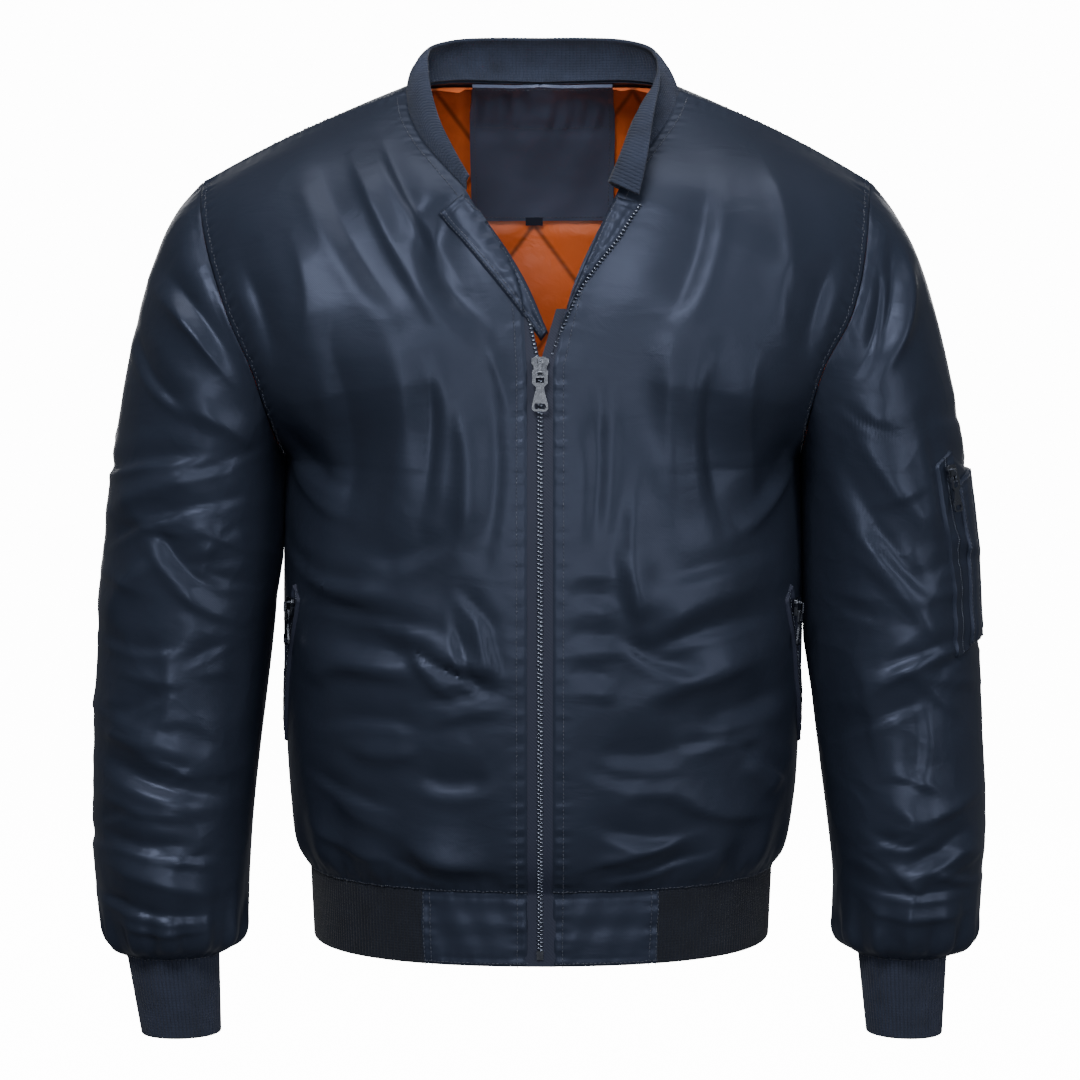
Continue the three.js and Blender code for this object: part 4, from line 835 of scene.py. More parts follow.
ALL_ROUND = {"left": 1, "right": 1, "low": 1, "high": 1}
ARM_ROW = 6  # the row of the body under the arm
ARMHOLE_PUCKER = 1.1
BODY_SEAMS = {"left": 0.45, "right": 0.5, "low": 1, "high": 0.3}
ZIP_PUCKER = {"along_zip": 0.85, "less_above": 0.5, "from_row": 9.5}
FRONT_COLUMNS = 104
BODY_ROWS = 224
BACK_COLUMNS = 70
row_lines = grid_lines(BODY_ROWS) * TOP_ROW
skins = {}  # each panel's finished outer face, on which its trim and stitching lie
for hand, sign in HANDS.items():
    name = "front_" + hand
    u, row = np.meshgrid(grid_lines(FRONT_COLUMNS), row_lines)
    points = halves[hand]["front"](u, row)
    normals = grid_normals(points, sign)
    open_neck = np.clip(row - ZIP_PUCKER["from_row"], 0, 1)
    beside_zip = ZIP_PUCKER["along_zip"] - ZIP_PUCKER["less_above"] * open_neck
    puckers = {"left": beside_zip, "right": ARMHOLE_PUCKER * np.clip(row - ARM_ROW, 0, 1)}
    points = sewn_edges(points, normals, BODY_SEAMS, puckers=puckers)
    skins[name] = shell_skin(u[0], row_lines, points, normals)
    piece = add_object(name + "_shell", *shell_wall(skins[name], turned=hand == "left"), nylon)
    finish_cloth(piece, [name])

back_lines = np.linspace(0, INNER_LINES[1], BACK_COLUMNS)
back_lines = np.concatenate([back_lines, 1 - np.array(EDGE_LINES[::-1])])
for hand, sign in HANDS.items():
    u, row = np.meshgrid(back_lines, row_lines)
    points = halves[hand]["back"](u, row)
    below_neck = row_lines < COLLAR_ROW
    points[below_neck, 0, 0] = 0
    normals = grid_normals(points, -sign)
    normals[below_neck, 0, 0] = 0
    neck_seam = np.clip(4 * (row_lines[:, None] - COLLAR_ROW), 0, 1)
    points = sewn_edges(points, normals, {**BODY_SEAMS, "left": 0.5 * neck_seam})
    skins["back_" + hand] = shell_skin(back_lines, row_lines, points, normals)
# Along the middle of the back both halves share one line.
for name in BENEATH:
    shared = sum(skins["back_" + hand][name][below_neck, 0] for hand in HANDS) * (0, 0.5, 0.5)
    for hand in HANDS:
        skins["back_" + hand][name][below_neck, 0] = shared
back_parts = [shell_wall(skins["back_" + hand], turned=hand == "right") for hand in HANDS]
back = add_object("back_shell", *merged(back_parts), nylon)
finish_cloth(back, ["back"])

# The sleeves: one piece each of the same padded nylon, sewn into the armholes and gathered into
# the cuffs. Each section lies between a point of the outer line and a point of the inner one, and
# reaches depth to the front and to the back of its middle.
SLEEVE = table(
    "outZ out_left out_right inZ in_left in_right depth y",
    [
        (-67, 268, 263, -284, 204.5, 209, 90, 0),
        (-92, 289, 282, -300, 206.5, 211.5, 88, -1),
        (-130, 306, 301, -318, 208, 213, 85, -3),
        (-178, 320, 316, -340, 209, 214, 83, -5),
        (-230, 331, 328, -366, 209.5, 214.5, 80, -6),
        (-290, 340, 338, -396, 210, 215, 78, -7),
        (-350, 347, 346, -430, 213, 216.5, 76, -8),
        (-420, 352, 350, -472, 218, 219, 74, -10),
        (-490, 356, 353, -520, 224, 223, 72, -13),
        (-560, 357, 356, -568, 229, 229, 70, -17),
        (-612, 356, 354, -612, 232, 234, 67, -20),
        (-648, 352, 351, -645, 234, 235, 62, -23),
        (-671, 345, 346, -668, 238, 238, 54, -25),
        (-682, 330, 325, -681, 257, 255, 35, -26),
    ],
)
SLEEVE_END = 13
CAP_BLEND = 2.2  # sections over which the sleeve leaves the armhole's own outline
END_FADE = 1.5  # sections over which its folds fade out at both ends
INNER_FADE = 2.6  # how fast they rise from the inner line, which lies beside the body
REST_WIDTH = 0.07
REAR_BLEND = 3
CUFF_GATHER = {"height": 3, "section": 12, "reach": 1.1, "waves": 12}
CUFF_CRIMP = {"height": 2.6, "pitch": 0.036, "reach": 1.4}
# How far the inner line of each section comes out under the arm, to rest against the body's side
INNER_REST = table(
    "section left right",
    [
        (0, 0, 0),
        (0.4, 2.4, 2.4),
        (1, 3.3, 3.3),
        (2, 4.3, 4.3),
        (3, 5.0, 5.0),
        (4, 4.6, 5.1),
        (5, 0, 5.3),
        (6, 0, 6.2),
        (7, 0, 2),
        (8, 0, 0),
    ],
)
# Folds of each sleeve's front and rear, in the same form as those of the body.
LEFT_SLEEVE_FOLDS = [
    ((-294, -138), (-262, -170), (-235, -205), 14, -7),
    ((-291, -232), (-242, -258), (-221, -276), 15, 7),
    ((-336, -326), (-304, -307), (-255, -293), 14, 6),
    ((-297, -334), (-281, -362), (-250, -389), 12, -6),
    ((-299, -363), (-325, -385), (-342, -420), 14, 6),
    ((-346, -515), (-299, -537), (-232, -549), 11, -7),
    ((-349, -599), (-295, -616), (-240, -629), 14, 6),
    # finer creases between them
    ((-290, -160), (-264, -190), (-238, -222), 7, 3.4),
    ((-318, -180), (-300, -220), (-262, -246), 7, -3),
    ((-217, -270), (-242, -284), (-270, -292), 6, -3),
    ((-330, -290), (-300, -282), (-250, -276), 6, -2.8),
    ((-340, -350), (-306, -330), (-262, -318), 6, -3.2),
    ((-240, -330), (-256, -350), (-262, -380), 7, 3),
    ((-288, -380), (-262, -400), (-232, -410), 7, 3.2),
    ((-350, -420), (-316, -430), (-276, -426), 6, -2.4),
    ((-345, -498), (-322, -505), (-288, -518), 8, 4),
    ((-300, -520), (-262, -530), (-234, -528), 7, 3),
    ((-352, -545), (-310, -560), (-262, -562), 7, 3),
    ((-345, -575), (-300, -590), (-240, -596), 6, -3),
    ((-350, -625), (-300, -640), (-246, -640), 6, -3),
    ((-331, -648), (-296, -656), (-250, -650), 6, 3),
    ((-300, -420), (-290, -460), (-300, -500), 12, 2.4),
    ((-240, -420), (-236, -460), (-244, -500), 9, -2.4),
]
RIGHT_SLEEVE_FOLDS = [
    ((271, -101), (274, -159), (254, -205), 14, -6),
    ((232, -276), (256, -326), (291, -371), 13, -7),
    ((238, -352), (278, -384), (317, -436), 14, 6),
    ((317, -440), (270, -456), (236, -492), 15, 7),
    ((258, -548), (291, -567), (262, -589), 14, 6),
    ((342, -572), (315, -587), (283, -603), 12, -5),
    # finer creases between them
    ((284, -124), (288, -165), (272, -208), 7, 3.4),
    ((262, -128), (262, -170), (246, -212), 6, -3),
    ((240, -250), (262, -290), (296, -330), 7, 3),
    ((300, -250), (312, -300), (318, -350), 10, -2.4),
    ((246, -330), (270, -356), (306, -392), 5.5, -3),
    ((330, -424), (296, -434), (262, -446), 6, -3),
    ((250, -440), (258, -480), (266, -530), 9, 3),
    ((236, -500), (262, -488), (300, -470), 6, -2.8),
    ((290, -470), (296, -510), (286, -545), 9, -2.4),
    ((268, -530), (290, -533), (318, -546), 6, 3),
    ((256, -572), (280, -584), (300, -578), 5.5, -3),
    ((300, -600), (290, -640), (284, -665), 8, 2.4),
    ((240, -607), (276, -622), (335, -620), 6, -3),
    ((248, -634), (290, -644), (336, -640), 7, 3.2),
    ((346, -548), (320, -560), (300, -566), 6, 2.8),
]
SLEEVE_REAR_FOLDS = [
    ((-236, -250), (-270, -240), (-312, -222), 14, 5),
    ((-232, -300), (-276, -318), (-330, -306), 13, -5),
    ((-234, -372), (-284, -352), (-338, -372), 14, 6),
    ((-240, -420), (-290, -404), (-344, -420), 11, -5),
    ((-244, -470), (-290, -456), (-346, -476), 14, 5),
    ((-246, -530), (-296, -548), (-348, -536), 11, -5),
    ((-248, -600), (-300, -588), (-350, -604), 13, 5),
    ((-300, -160), (-270, -190), (-244, -226), 12, -4),
    ((-240, -344), (-286, -334), (-330, -340), 6, -3),
    ((-240, -398), (-276, -386), (-316, -390), 6, 3),
    ((-246, -440), (-286, -436), (-330, -446), 6, -3),
    ((-248, -504), (-292, -500), (-344, -508), 7, 3),
    ((-250, -566), (-300, -562), (-346, -572), 6, -3),
    ((-250, -630), (-300, -640), (-344, -632), 6, -3),
]

# Small crinkles where the sleeves bend and over their lower half
for folds, seed, x_range, slants in (
    (LEFT_SLEEVE_FOLDS, 11, (-345, -228), (-30, 35)),
    (RIGHT_SLEEVE_FOLDS, 12, (228, 345), (-40, 30)),
    (SLEEVE_REAR_FOLDS, 13, (-345, -232), (-25, 25)),
):
    folds += scattered(seed, 26, x_range, (-630, -230), slants, (28, 70), (4.5, 7), (1.2, 2.8))
    folds += scattered(seed + 20, 8, x_range, (-660, -560), slants, (24, 50), (4.5, 6), (1.2, 2.4))


MIRROR_WIDENING = 1.1


def mirrored(folds, drop):
    """The same folds on the other side, drop lower and with their ends swapped."""
    other = []
    for a, b, c, width, rise in folds:
        other.append((*[(-x, z - drop) for x, z in (c, b, a)], width * MIRROR_WIDENING, rise))
    return other


SLEEVE_FOLDS = {
    "left": (LEFT_SLEEVE_FOLDS, SLEEVE_REAR_FOLDS),
    "right": (RIGHT_SLEEVE_FOLDS, mirrored(SLEEVE_REAR_FOLDS, drop=17)),
}


def sleeve(hand):
    """round runs from the outer line (0) over the front (0.25) to the inner line (0.5) and back
    over the rear, and section counts the rows of the table."""
    sign = HANDS[hand]

    def ellipse(turn, section):
        at = {name: column_at(SLEEVE, name, section) for name in SLEEVE}
        out_x, in_x = at["out_" + hand], at["in_" + hand]
        across = 0.5 * np.cos(2 * np.pi * turn)
        x = (out_x + in_x) / 2 + across * (out_x - in_x)
        y = at["y"] - np.sin(2 * np.pi * turn) * at["depth"]
        z = (at["outZ"] + at["inZ"]) / 2 + across * (at["outZ"] - at["inZ"])
        return np.stack([x, y, z], -1)

    def armhole(turn):
        front = turn <= 0.5
        row = TOP_ROW - (TOP_ROW - ARM_ROW) * np.where(front, 2 * turn, 2 - 2 * turn)
        columns = [
            np.where(front, along(FRONT_SIDE, name, row), along(BACK_SIDE, name, row))
            for name in (hand, "y", "z")
        ]
        return np.stack(columns, -1)

    def plain(turn, section):
        turn = turn - np.floor(turn)
        blend = np.maximum(0, 1 - section / CAP_BLEND) ** 2
        start = armhole(turn) - ellipse(turn, np.zeros_like(section))
        return (ellipse(turn, section) + start * blend[..., None]) * (sign, 1, 1)

    def relief(turn, section, points):
        turn = turn - np.floor(turn)
        outer = 0.5 - 0.5 * np.cos(np.pi * np.minimum(1, INNER_FADE * np.abs(turn - 0.5)))
        fade = np.clip(np.minimum(section / END_FADE, (SLEEVE_END - section) / END_FADE), 0, 1)
        level = np.exp(-(((section - CUFF_GATHER["section"]) / CUFF_GATHER["reach"]) ** 2))
        gather = CUFF_GATHER["height"] * np.cos(2 * np.pi * CUFF_GATHER["waves"] * turn) * level
        close = np.exp(-(((SLEEVE_END - section) / CUFF_CRIMP["reach"]) ** 2))
        fine = CUFF_CRIMP["height"] * ripple(turn, CUFF_CRIMP["pitch"], sign) * close * np.sqrt(fade)
        rest = np.interp(section, INNER_REST["section"], INNER_REST[hand])
        rest = rest * np.exp(-(((turn - 0.5) / REST_WIDTH) ** 2))
        front, rear = (fold_relief(points[..., 0], points[..., 2], f) for f in SLEEVE_FOLDS[hand])
        # Front and rear folds give way to each other over the outer line.
        share = np.clip(0.5 + REAR_BLEND * np.sin(2 * np.pi * turn), 0, 1)
        fold = front * share + rear * (1 - share)
        return fade * (outer * fold + gather + fine) + rest

    return surface(plain, relief, sign)


SLEEVE_COLUMNS = 160
SLEEVE_ROWS = 236
sleeve_nylon = nylon_finish("crinkled_nylon_taffeta", "#2a303e", "#1f242f", 0.36, 0.3)
sleeves = {}
for hand, sign in HANDS.items():
    sleeves[hand] = sleeve(hand)
    turn_lines = np.linspace(0, 1, SLEEVE_COLUMNS + 1)
    section_lines = grid_lines(SLEEVE_ROWS) * SLEEVE_END
    turn, section = np.meshgrid(turn_lines, section_lines)
    points = sleeves[hand](turn, section)
    normals = grid_normals(points, sign, wraps=True)
    points = sewn_edges(points, normals, {"low": 0.3, "high": 1}, wraps=True)
    points[:, -1] = points[:, 0]
    name = "sleeve_" + hand
    skins[name] = shell_skin(turn_lines, section_lines, points, normals, wraps=True)
    mesh = shell_wall(skins[name], turned=hand == "left", wraps=True)
    piece = add_object(name + "_shell", *mesh, sleeve_nylon)
    finish_cloth(piece, [name])

# The rib bands: collar, cuffs and hem, each a band of navy rib knit folded double at its free
# edge. The ribs are modelled, and the fine loops along them are in the material's bump.
RIB_WALL = 3.0
RIB_PITCH = 3.1
RIB_HEIGHT = 0.85
RIB_POINTS = 6
ROLL = {"depth": 1.45, "reach": 1.6}  # how the free edge rounds over
SEAM_SINK = {"depth": 1.3, "reach": 1.5}  # how the band sinks in where it is sewn on
# Lines across a band, from just behind its seam to its free edge, close together at both
BAND_LINES = np.array(
    [-0.09, 0.0, 0.03, 0.08, 0.2, 0.35, 0.5, 0.65, 0.8, 0.9, 0.955, 0.975, 0.988, 0.996, 1]
)
LOOP_SIZE = 1.1
FUZZ_SIZE = 0.8
HEM_DROP = 57
HEM_TAPER = 2.5
CUFF_DROP = 64
CUFF_TAPER = 5
CUFF_LEAN = {"left": 6, "right": -2}  # how far each cuff leans in towards its lower edge
HEM_JOINT = 0.305  # where across the front the hem's nylon end meets the rib


def knit_finish(name, light, dark):
    """Rib knit in wool-like yarn: soft and dull, with fine loops along the ribs."""
    finish, tree, place, colour = cloth_finish(name, light, dark, 60, 4)
    loops = wave(tree, place, 1 / (2 * math.pi * LOOP_SIZE * MM), 2, "Z", 1)
    fuzz = noise(tree, place, 1 / (FUZZ_SIZE * MM), 2)
    looped = bump(tree, loops, 0.5, 0.35)
    return coat(
        finish,
        {
            "Base Color": colour,
            "Roughness": 0.92,
            "Specular IOR Level": 0.25,
            "Sheen Weight": 0.12,
            "Sheen Roughness": 0.5,
            "Normal": bump(tree, fuzz[0], 0.35, 0.3, looped),
        },
    )


# The one knit in three copies: lighter at the neck and the wrists as painted light, and darker round the
# hem as painted shade.
collar_rib_painted_light = knit_finish("navy_rib_knit_collar", "#373f54", "#232834")
cuff_rib_painted_light = knit_finish("navy_rib_knit_cuffs", "#333a4e", "#202531")
hem_rib = knit_finish("navy_rib_knit_hem", "#1f2430", "#13161e")


def ribbed_band(name, lines, sign, wraps, finish, height=RIB_HEIGHT, thinning=3):
    """A band of rib knit on lines [place along the band][seam, ..., free edge]."""
    steps = np.linalg.norm(np.diff(lines[:, lines.shape[1] // 2], axis=0), axis=-1)
    length = np.concatenate([[0], np.cumsum(steps)])
    count = int(round(length[-1] / RIB_PITCH)) * RIB_POINTS
    index = np.interp(np.linspace(0, length[-1], count + 1), length, np.arange(len(lines)))
    low = np.minimum(index.astype(int), len(lines) - 2)
    share = (index - low)[:, None, None]
    grid = (lines[low] * (1 - share) + lines[low + 1] * share).transpose(1, 0, 2)
    if wraps:
        grid[:, -1] = grid[:, 0]
    normals = grid_normals(grid, sign, wraps)
    rib = height * (np.sqrt(np.abs(np.sin(np.pi * np.arange(count + 1) / RIB_POINTS))) - 0.5)
    up = lengths_from(grid, 0)
    from_free = up[-1:] - up
    round_over = np.clip(1 - from_free / ROLL["reach"], 0, 1)
    roll = ROLL["depth"] * (1 - np.sqrt(np.clip(1 - round_over**2, 0, 1)))
    at_seam = SEAM_SINK["depth"] * np.exp(-((up / SEAM_SINK["reach"]) ** 2))
    outer = grid + normals * (rib[None] - roll - at_seam)[..., None]
    thickness = (RIB_WALL - 2 * roll - at_seam + 2 * rib[None])[..., None]
    return wall(name, outer, normals, thickness, finish, sign < 0, wraps, thinning)


def band_below(line, middle, drop, taper, lean):
    """Lines that hang from a seam and draw in towards a middle."""
    inward = middle - line
    inward[:, 2] = 0
    inward /= np.maximum(np.linalg.norm(inward, axis=-1, keepdims=True), 1e-9)
    level = BAND_LINES[None, :, None]
    return line[:, None] + inward[:, None] * taper * level + np.array([lean, 0, -drop]) * level


fine = np.linspace(0, 1, 240)
hem_lines = []
for hand in HANDS:
    front_at, back_at = halves[hand]["front"], halves[hand]["back"]
    u = HEM_JOINT - 0.006 + (1.006 - HEM_JOINT) * fine
    front_line = front_at(u, np.zeros_like(u))
    back_line = back_at(fine[::-1], np.zeros_like(fine))
    hem_lines.append(np.concatenate([front_line, back_line[1:]]))
hem_line = np.concatenate([hem_lines[0], hem_lines[1][::-1][1:]])
hem = ribbed_band(
    "hem_rib_knit",
    band_below(hem_line, np.array([0, 8, 0]), HEM_DROP, HEM_TAPER, 0),
    sign=1,
    wraps=False,
    finish=hem_rib,
    height=0.5,
)
finish_cloth(hem, ["hem_rib"])
for hand, sign in HANDS.items():
    seam = sleeves[hand](fine, np.full_like(fine, SLEEVE_END))
    middle = seam[:-1].mean(0)
    lines = band_below(seam, middle, CUFF_DROP, CUFF_TAPER, -sign * CUFF_LEAN[hand])
    cuff = ribbed_band("cuff_%s_knit" % hand, lines, sign=sign, wraps=True, finish=cuff_rib_painted_light)
    finish_cloth(cuff, ["cuff_" + hand])

# The collar: a stand-up band of the same rib knit. Its free edge leans inward round the neck, and
# its end on the viewer's right is rolled outward with the open front. Each line of it passes
# through its middle and its free edge.
COLLAR_SIDES = {
    "left": table(
        "mid_x mid_y mid_z edge_x edge_y edge_z",
        [
            (57.5, -89, -66, 55, -89, -62),
            (74, -72, -42, 66, -74, -42),
            (89, -49, -19, 78, -52, -18),
            (98, -24, 6, 86, -24, 10),
            (101, 3, 24, 89, 6, 33),
        ],
    ),
    "right": table(
        "mid_x mid_y mid_z edge_x edge_y edge_z",
        [
            (56, -99, -69, 76, -105, -78),
            (65, -86, -45, 82, -96, -52),
            (77, -58, -16, 88, -67, -17),
            (93, -25, 6, 94, -26, 11),
            (103, 3, 22, 93, 6, 33),
        ],
    ),
}
COLLAR_BACK = table(
    "mid_x mid_y mid_z edge_x edge_y edge_z",
    [
        (0, 70, 36, 0, 62, 50),
        (38, 65, 37, 37, 57, 50),
        (72, 50, 36, 66, 44, 48),
        (95, 28, 31, 86, 26, 42),
        (102, 3, 23, 91, 6, 33),
    ],
)
collar_lines = []
for hand, sign in HANDS.items():
    side = COLLAR_SIDES[hand]
    behind = {name: np.append(column[:-1], side[name][-1]) for name, column in COLLAR_BACK.items()}
    row = np.linspace(COLLAR_ROW, TOP_ROW, 160)
    parts = []
    for face, band in (("front", side), ("back", behind)):
        seam = halves[hand][face](np.zeros_like(row), row)[:, None]
        middle, edge = (
            np.stack([column_at(band, place + axis, row - COLLAR_ROW) for axis in "xyz"], -1)[:, None]
            * (sign, 1, 1)
            for place in ("mid_", "edge_")
        )
        t = BAND_LINES[None, :, None]
        parts.append(seam + t * (4 * middle - 3 * seam - edge) + 2 * t * t * (seam + edge - 2 * middle))
    collar_lines.append(np.concatenate([parts[0], parts[1][-2::-1]]))
collar_line = np.concatenate([collar_lines[0], collar_lines[1][-2::-1]])
collar = ribbed_band(
    "collar_knit", collar_line, sign=-1, wraps=False, finish=collar_rib_painted_light, height=0.45, thinning=1
)
finish_cloth(collar, ["collar"])

# The hem's two nylon ends, plain bands of the shell's cloth between the zip and the rib, a little
# wavy where they are sewn onto the gathered front.
PANEL_WAVE = {"height": 1.1, "pitch": 27.0, "slant": 0.35}
CROSS_WAVE = {"height": 0.6, "pitch": 21.0}
for hand, sign in HANDS.items():
    inner = np.linspace(INNER_LINES[0], 0.28, 24)
    u = np.concatenate([EDGE_LINES, inner, HEM_JOINT - np.array(EDGE_LINES[::-1])])
    line = halves[hand]["front"](u, np.zeros_like(u))
    lines = band_below(line, np.array([0, 8, 0]), HEM_DROP, HEM_TAPER, 0).transpose(1, 0, 2)
    rows = np.append(np.linspace(-0.06, 0.97, 33), (0.985, 0.99998, 1))
    grid = np.empty((len(rows), *lines.shape[1:]))
    for j, k in np.ndindex(lines.shape[1:]):
        grid[:, j, k] = np.interp(rows, BAND_LINES, lines[:, j, k])
    normals = grid_normals(grid, -sign)
    length, drop = lengths_from(grid, 1), lengths_from(grid, 0)
    middle = np.sin(np.pi * np.clip(drop / drop[-1:], 0, 1))
    slanted = length + PANEL_WAVE["slant"] * drop
    soft = PANEL_WAVE["height"] * ripple(slanted, PANEL_WAVE["pitch"], sign)
    soft = soft + CROSS_WAVE["height"] * ripple(drop, CROSS_WAVE["pitch"], 1.0 + sign)
    points = sewn_edges(grid + normals * (middle * soft)[..., None], normals, ALL_ROUND, pucker=0.7)
    name = "hem_panel_" + hand
    piece = wall(name + "_shell", points, normals, SHELL_WALL, flat_nylon_painted_light, turned=hand == "right")
    finish_cloth(piece, [name])
    skins[name] = {"u": u, "v": rows, "points": points, "normals": normals}

# The lining: orange taffeta quilted onto its padding in diamonds, loose behind the shell. It stops
# short of the seams, and lies flat behind the neck facing and at the hem.
LINING_WALL = 1.4
LINING_LIFT = -3.52
QUILT_PUFF = 4.5
QUILT_ROUNDNESS = 0.42
QUILT_WIDTH = 80
QUILT_HEIGHT = 108
QUILT_CROSSING = (-5, -101)
# How wide the painted shade along the quilting lines is
GROOVE_SHADE_WIDTH = 0.05  # as a share of a diamond
FACING_SPACE = (66, -104)  # half the width, and the foot, of the flat part behind the neck facing
SPACE_FADE = 5
FLAT_BELOW = 0.8  # the row below which it lies flat, and the rows over which it puffs up
FLAT_FADE = 0.5
LINING_ROWS = (0.45, 13.65)
LINING_GRID = (72, 144)


def over(skin, u, v, lift=0.0, face=("points", "normals")):
    """Places on a panel's finished outer face, raised by lift, and the directions they face. With
    the face BENEATH they keep clear of its creases."""
    column = np.interp(u, skin["u"], np.arange(len(skin["u"])))
    row = np.interp(v, skin["v"], np.arange(len(skin["v"])))
    j = np.minimum(column.astype(int), len(skin["u"]) - 2)
    i = np.minimum(row.astype(int), len(skin["v"]) - 2)
    s, t = (column - j)[..., None], (row - i)[..., None]

    def mixed(of):
        lower = of[i, j] * (1 - s) + of[i, j + 1] * s
        return lower * (1 - t) + (of[i + 1, j] * (1 - s) + of[i + 1, j + 1] * s) * t

    out = mixed(skin[face[1]])
    out /= np.linalg.norm(out, axis=-1, keepdims=True)
    return mixed(skin[face[0]]) + out * np.asarray(lift)[..., None], out


def taffeta_finish(name, light, dark, groove, roughness):
    """A thin close-woven cloth: two tones that shift softly, a darker tone along the quilting lines as
    painted shade, and small crinkles."""
    finish, tree, place, colour = cloth_finish(name, light, dark, 18, 3)
    apart = add_node(tree, "ShaderNodeSeparateXYZ", {0: place})
    counts = []
    for axis, start, size in zip("XZ", QUILT_CROSSING, (QUILT_WIDTH, QUILT_HEIGHT)):
        inputs = {0: apart.outputs[axis], 1: 1 / (size * MM), 2: -start / size}
        counts.append(add_node(tree, "ShaderNodeMath", inputs, operation="MULTIPLY_ADD").outputs[0])
    nearest = []
    for way in ("ADD", "SUBTRACT"):
        line = add_node(tree, "ShaderNodeMath", {0: counts[0], 1: counts[1]}, operation=way)
        turns = {0: line.outputs[0], 1: 0.5}
        nearest.append(add_node(tree, "ShaderNodeMath", turns, operation="PINGPONG").outputs[0])
    away = add_node(tree, "ShaderNodeMath", {0: nearest[0], 1: nearest[1]}, operation="MINIMUM")
    # Darker towards the quilting lines: painted shade in the grooves.
    inputs = {"Value": away.outputs[0], "From Max": GROOVE_SHADE_WIDTH}
    shade = add_node(tree, "ShaderNodeMapRange", inputs, interpolation_type="SMOOTHSTEP")
    crinkle = noise(tree, place, 1 / (20 * MM), 4, 1)
    return coat(
        finish,
        {
            "Base Color": blend(tree, shade.outputs["Result"], linear(groove), colour),
            "Roughness": roughness,
            "Normal": bump(tree, crinkle[0], 0.7, 1.6),
        },
    )


# The third colour is the painted shade of the quilting lines.
orange = taffeta_finish("orange_lining_taffeta", "#ea7437", "#d55c24", "#8d3f18", 0.42)


def lining_mesh(hand, face, first, flat_above):
    """One half of the lining, with its quilting on the side that faces the wearer."""
    skin = skins[face + "_" + hand]
    columns, rows = LINING_GRID
    u, row = np.meshgrid(np.linspace(first, 0.98, columns), np.linspace(*LINING_ROWS, rows))
    if face == "back":
        u = np.maximum(u, 0.035 * np.clip((row - COLLAR_ROW) / 0.8, 0, 1))
    points, normals = over(skin, u, row, LINING_LIFT, BENEATH)
    across = (points[..., 0] - QUILT_CROSSING[0]) / QUILT_WIDTH
    up = (points[..., 2] - QUILT_CROSSING[1]) / QUILT_HEIGHT
    swell = np.abs(np.sin(np.pi * (up + across)) * np.sin(np.pi * (up - across)))
    flat = np.clip((flat_above - row) / FLAT_FADE, 0, 1)
    flat = flat * np.clip((row - FLAT_BELOW) / FLAT_FADE, 0, 1)
    if face == "back":
        behind = np.clip((FACING_SPACE[0] - np.abs(points[..., 0])) / SPACE_FADE, 0, 1)
        above = np.clip((points[..., 2] - FACING_SPACE[1]) / SPACE_FADE, 0, 1)
        flat = flat * (1 - behind * above)
    thickness = LINING_WALL + QUILT_PUFF * swell**QUILT_ROUNDNESS * flat
    if face == "back":
        middle = row[:, 0] < COLLAR_ROW
        points[middle, 0, 0] = normals[middle, 0, 0] = 0
    turned = (hand == "left") != (face == "front")
    return wall_mesh(points - normals * thickness[..., None], points, turned)


for hand in HANDS:
    mesh = lining_mesh(hand, "front", 0.06, TOP_ROW - 3)
    piece = add_object("lining_front_%s_quilt" % hand, *mesh, orange)
    finish_cloth(piece, ["lining_front_" + hand])
mesh = merged([lining_mesh(hand, "back", 0, 13.4) for hand in HANDS])
piece = add_object("lining_back_quilt", *mesh, orange)
finish_cloth(piece, ["lining_back"])

# The neck facing: a patch of the shell's nylon inside the back of the neck, topstitched along its
# edges and once across, with a bare size tab at its lower edge.
STRIP_WALL = 1.5
FACING = {"left": -57, "right": 61, "foot": -95, "rise": 6}
FACING_LIFT = LINING_LIFT - LINING_WALL - 1.8
TAB = {"left": -12, "right": 2.4, "top": -92, "foot": -99, "wall": 0.8, "lift": 0.8}


def place_over(at, x, z, u, row):
    """Where [u, row] a body half stands over places x and z, searched from a first guess."""
    u, row = np.full_like(x, u), np.full_like(x, row)
    step = 0.01
    for _ in range(30):
        p = at(u, row)
        du, dr = (at(u + step, row) - p) / step, (at(u, row + step) - p) / step
        gap_x, gap_z = x - p[..., 0], z - p[..., 2]
        turn = du[..., 0] * dr[..., 2] - dr[..., 0] * du[..., 2]
        u = u + np.clip((gap_x * dr[..., 2] - dr[..., 0] * gap_z) / turn, -0.1, 0.1)
        row = row + np.clip((du[..., 0] * gap_z - gap_x * du[..., 2]) / turn, -1, 1)
    return u, row


def inside_back(x, z, lift):
    """Places behind the back of the neck, over x and z, and the directions they face."""
    points, out = np.zeros((*x.shape, 3)), np.zeros((*x.shape, 3))
    for hand, own in (("left", x < 0), ("right", x >= 0)):
        u, row = place_over(halves[hand]["back"], x[own], z[own], 0.1, 9.0)
        own_lift = np.broadcast_to(lift, x.shape)[own]
        points[own], out[own] = over(skins["back_" + hand], u, row, own_lift, BENEATH)
    return points, out


# The facing is the shell's nylon, given much lighter tones as painted light where it lies in shade
# inside the neck.
facing_painted_light = nylon_finish("facing_nylon", "#5a627a", "#3d4454", 0.3, 0.12, shine=0.95)
x_lines = np.linspace(FACING["left"], FACING["right"], 96)
neck_rows = np.linspace(COLLAR_ROW, TOP_ROW, 60)
left_x, right_x, seam_z = (along(BACK_EDGE, name, neck_rows) for name in ("left", "right", "z"))
neck_x, neck_z = np.append(-left_x[::-1], right_x), np.append(seam_z[::-1], seam_z)
top = np.interp(x_lines, neck_x, neck_z)
down = grid_lines(60)[:, None]
x = np.broadcast_to(x_lines, (len(down), len(x_lines)))
lift = FACING_LIFT - 3.5 * np.broadcast_to(np.clip(1 - down / 0.3, 0, 1), x.shape)
points, normals = inside_back(x, top * (1 - down) + FACING["foot"] * down, lift)
points[..., 2] += FACING["rise"] * (1 - down) ** 3  # over the foot of the collar
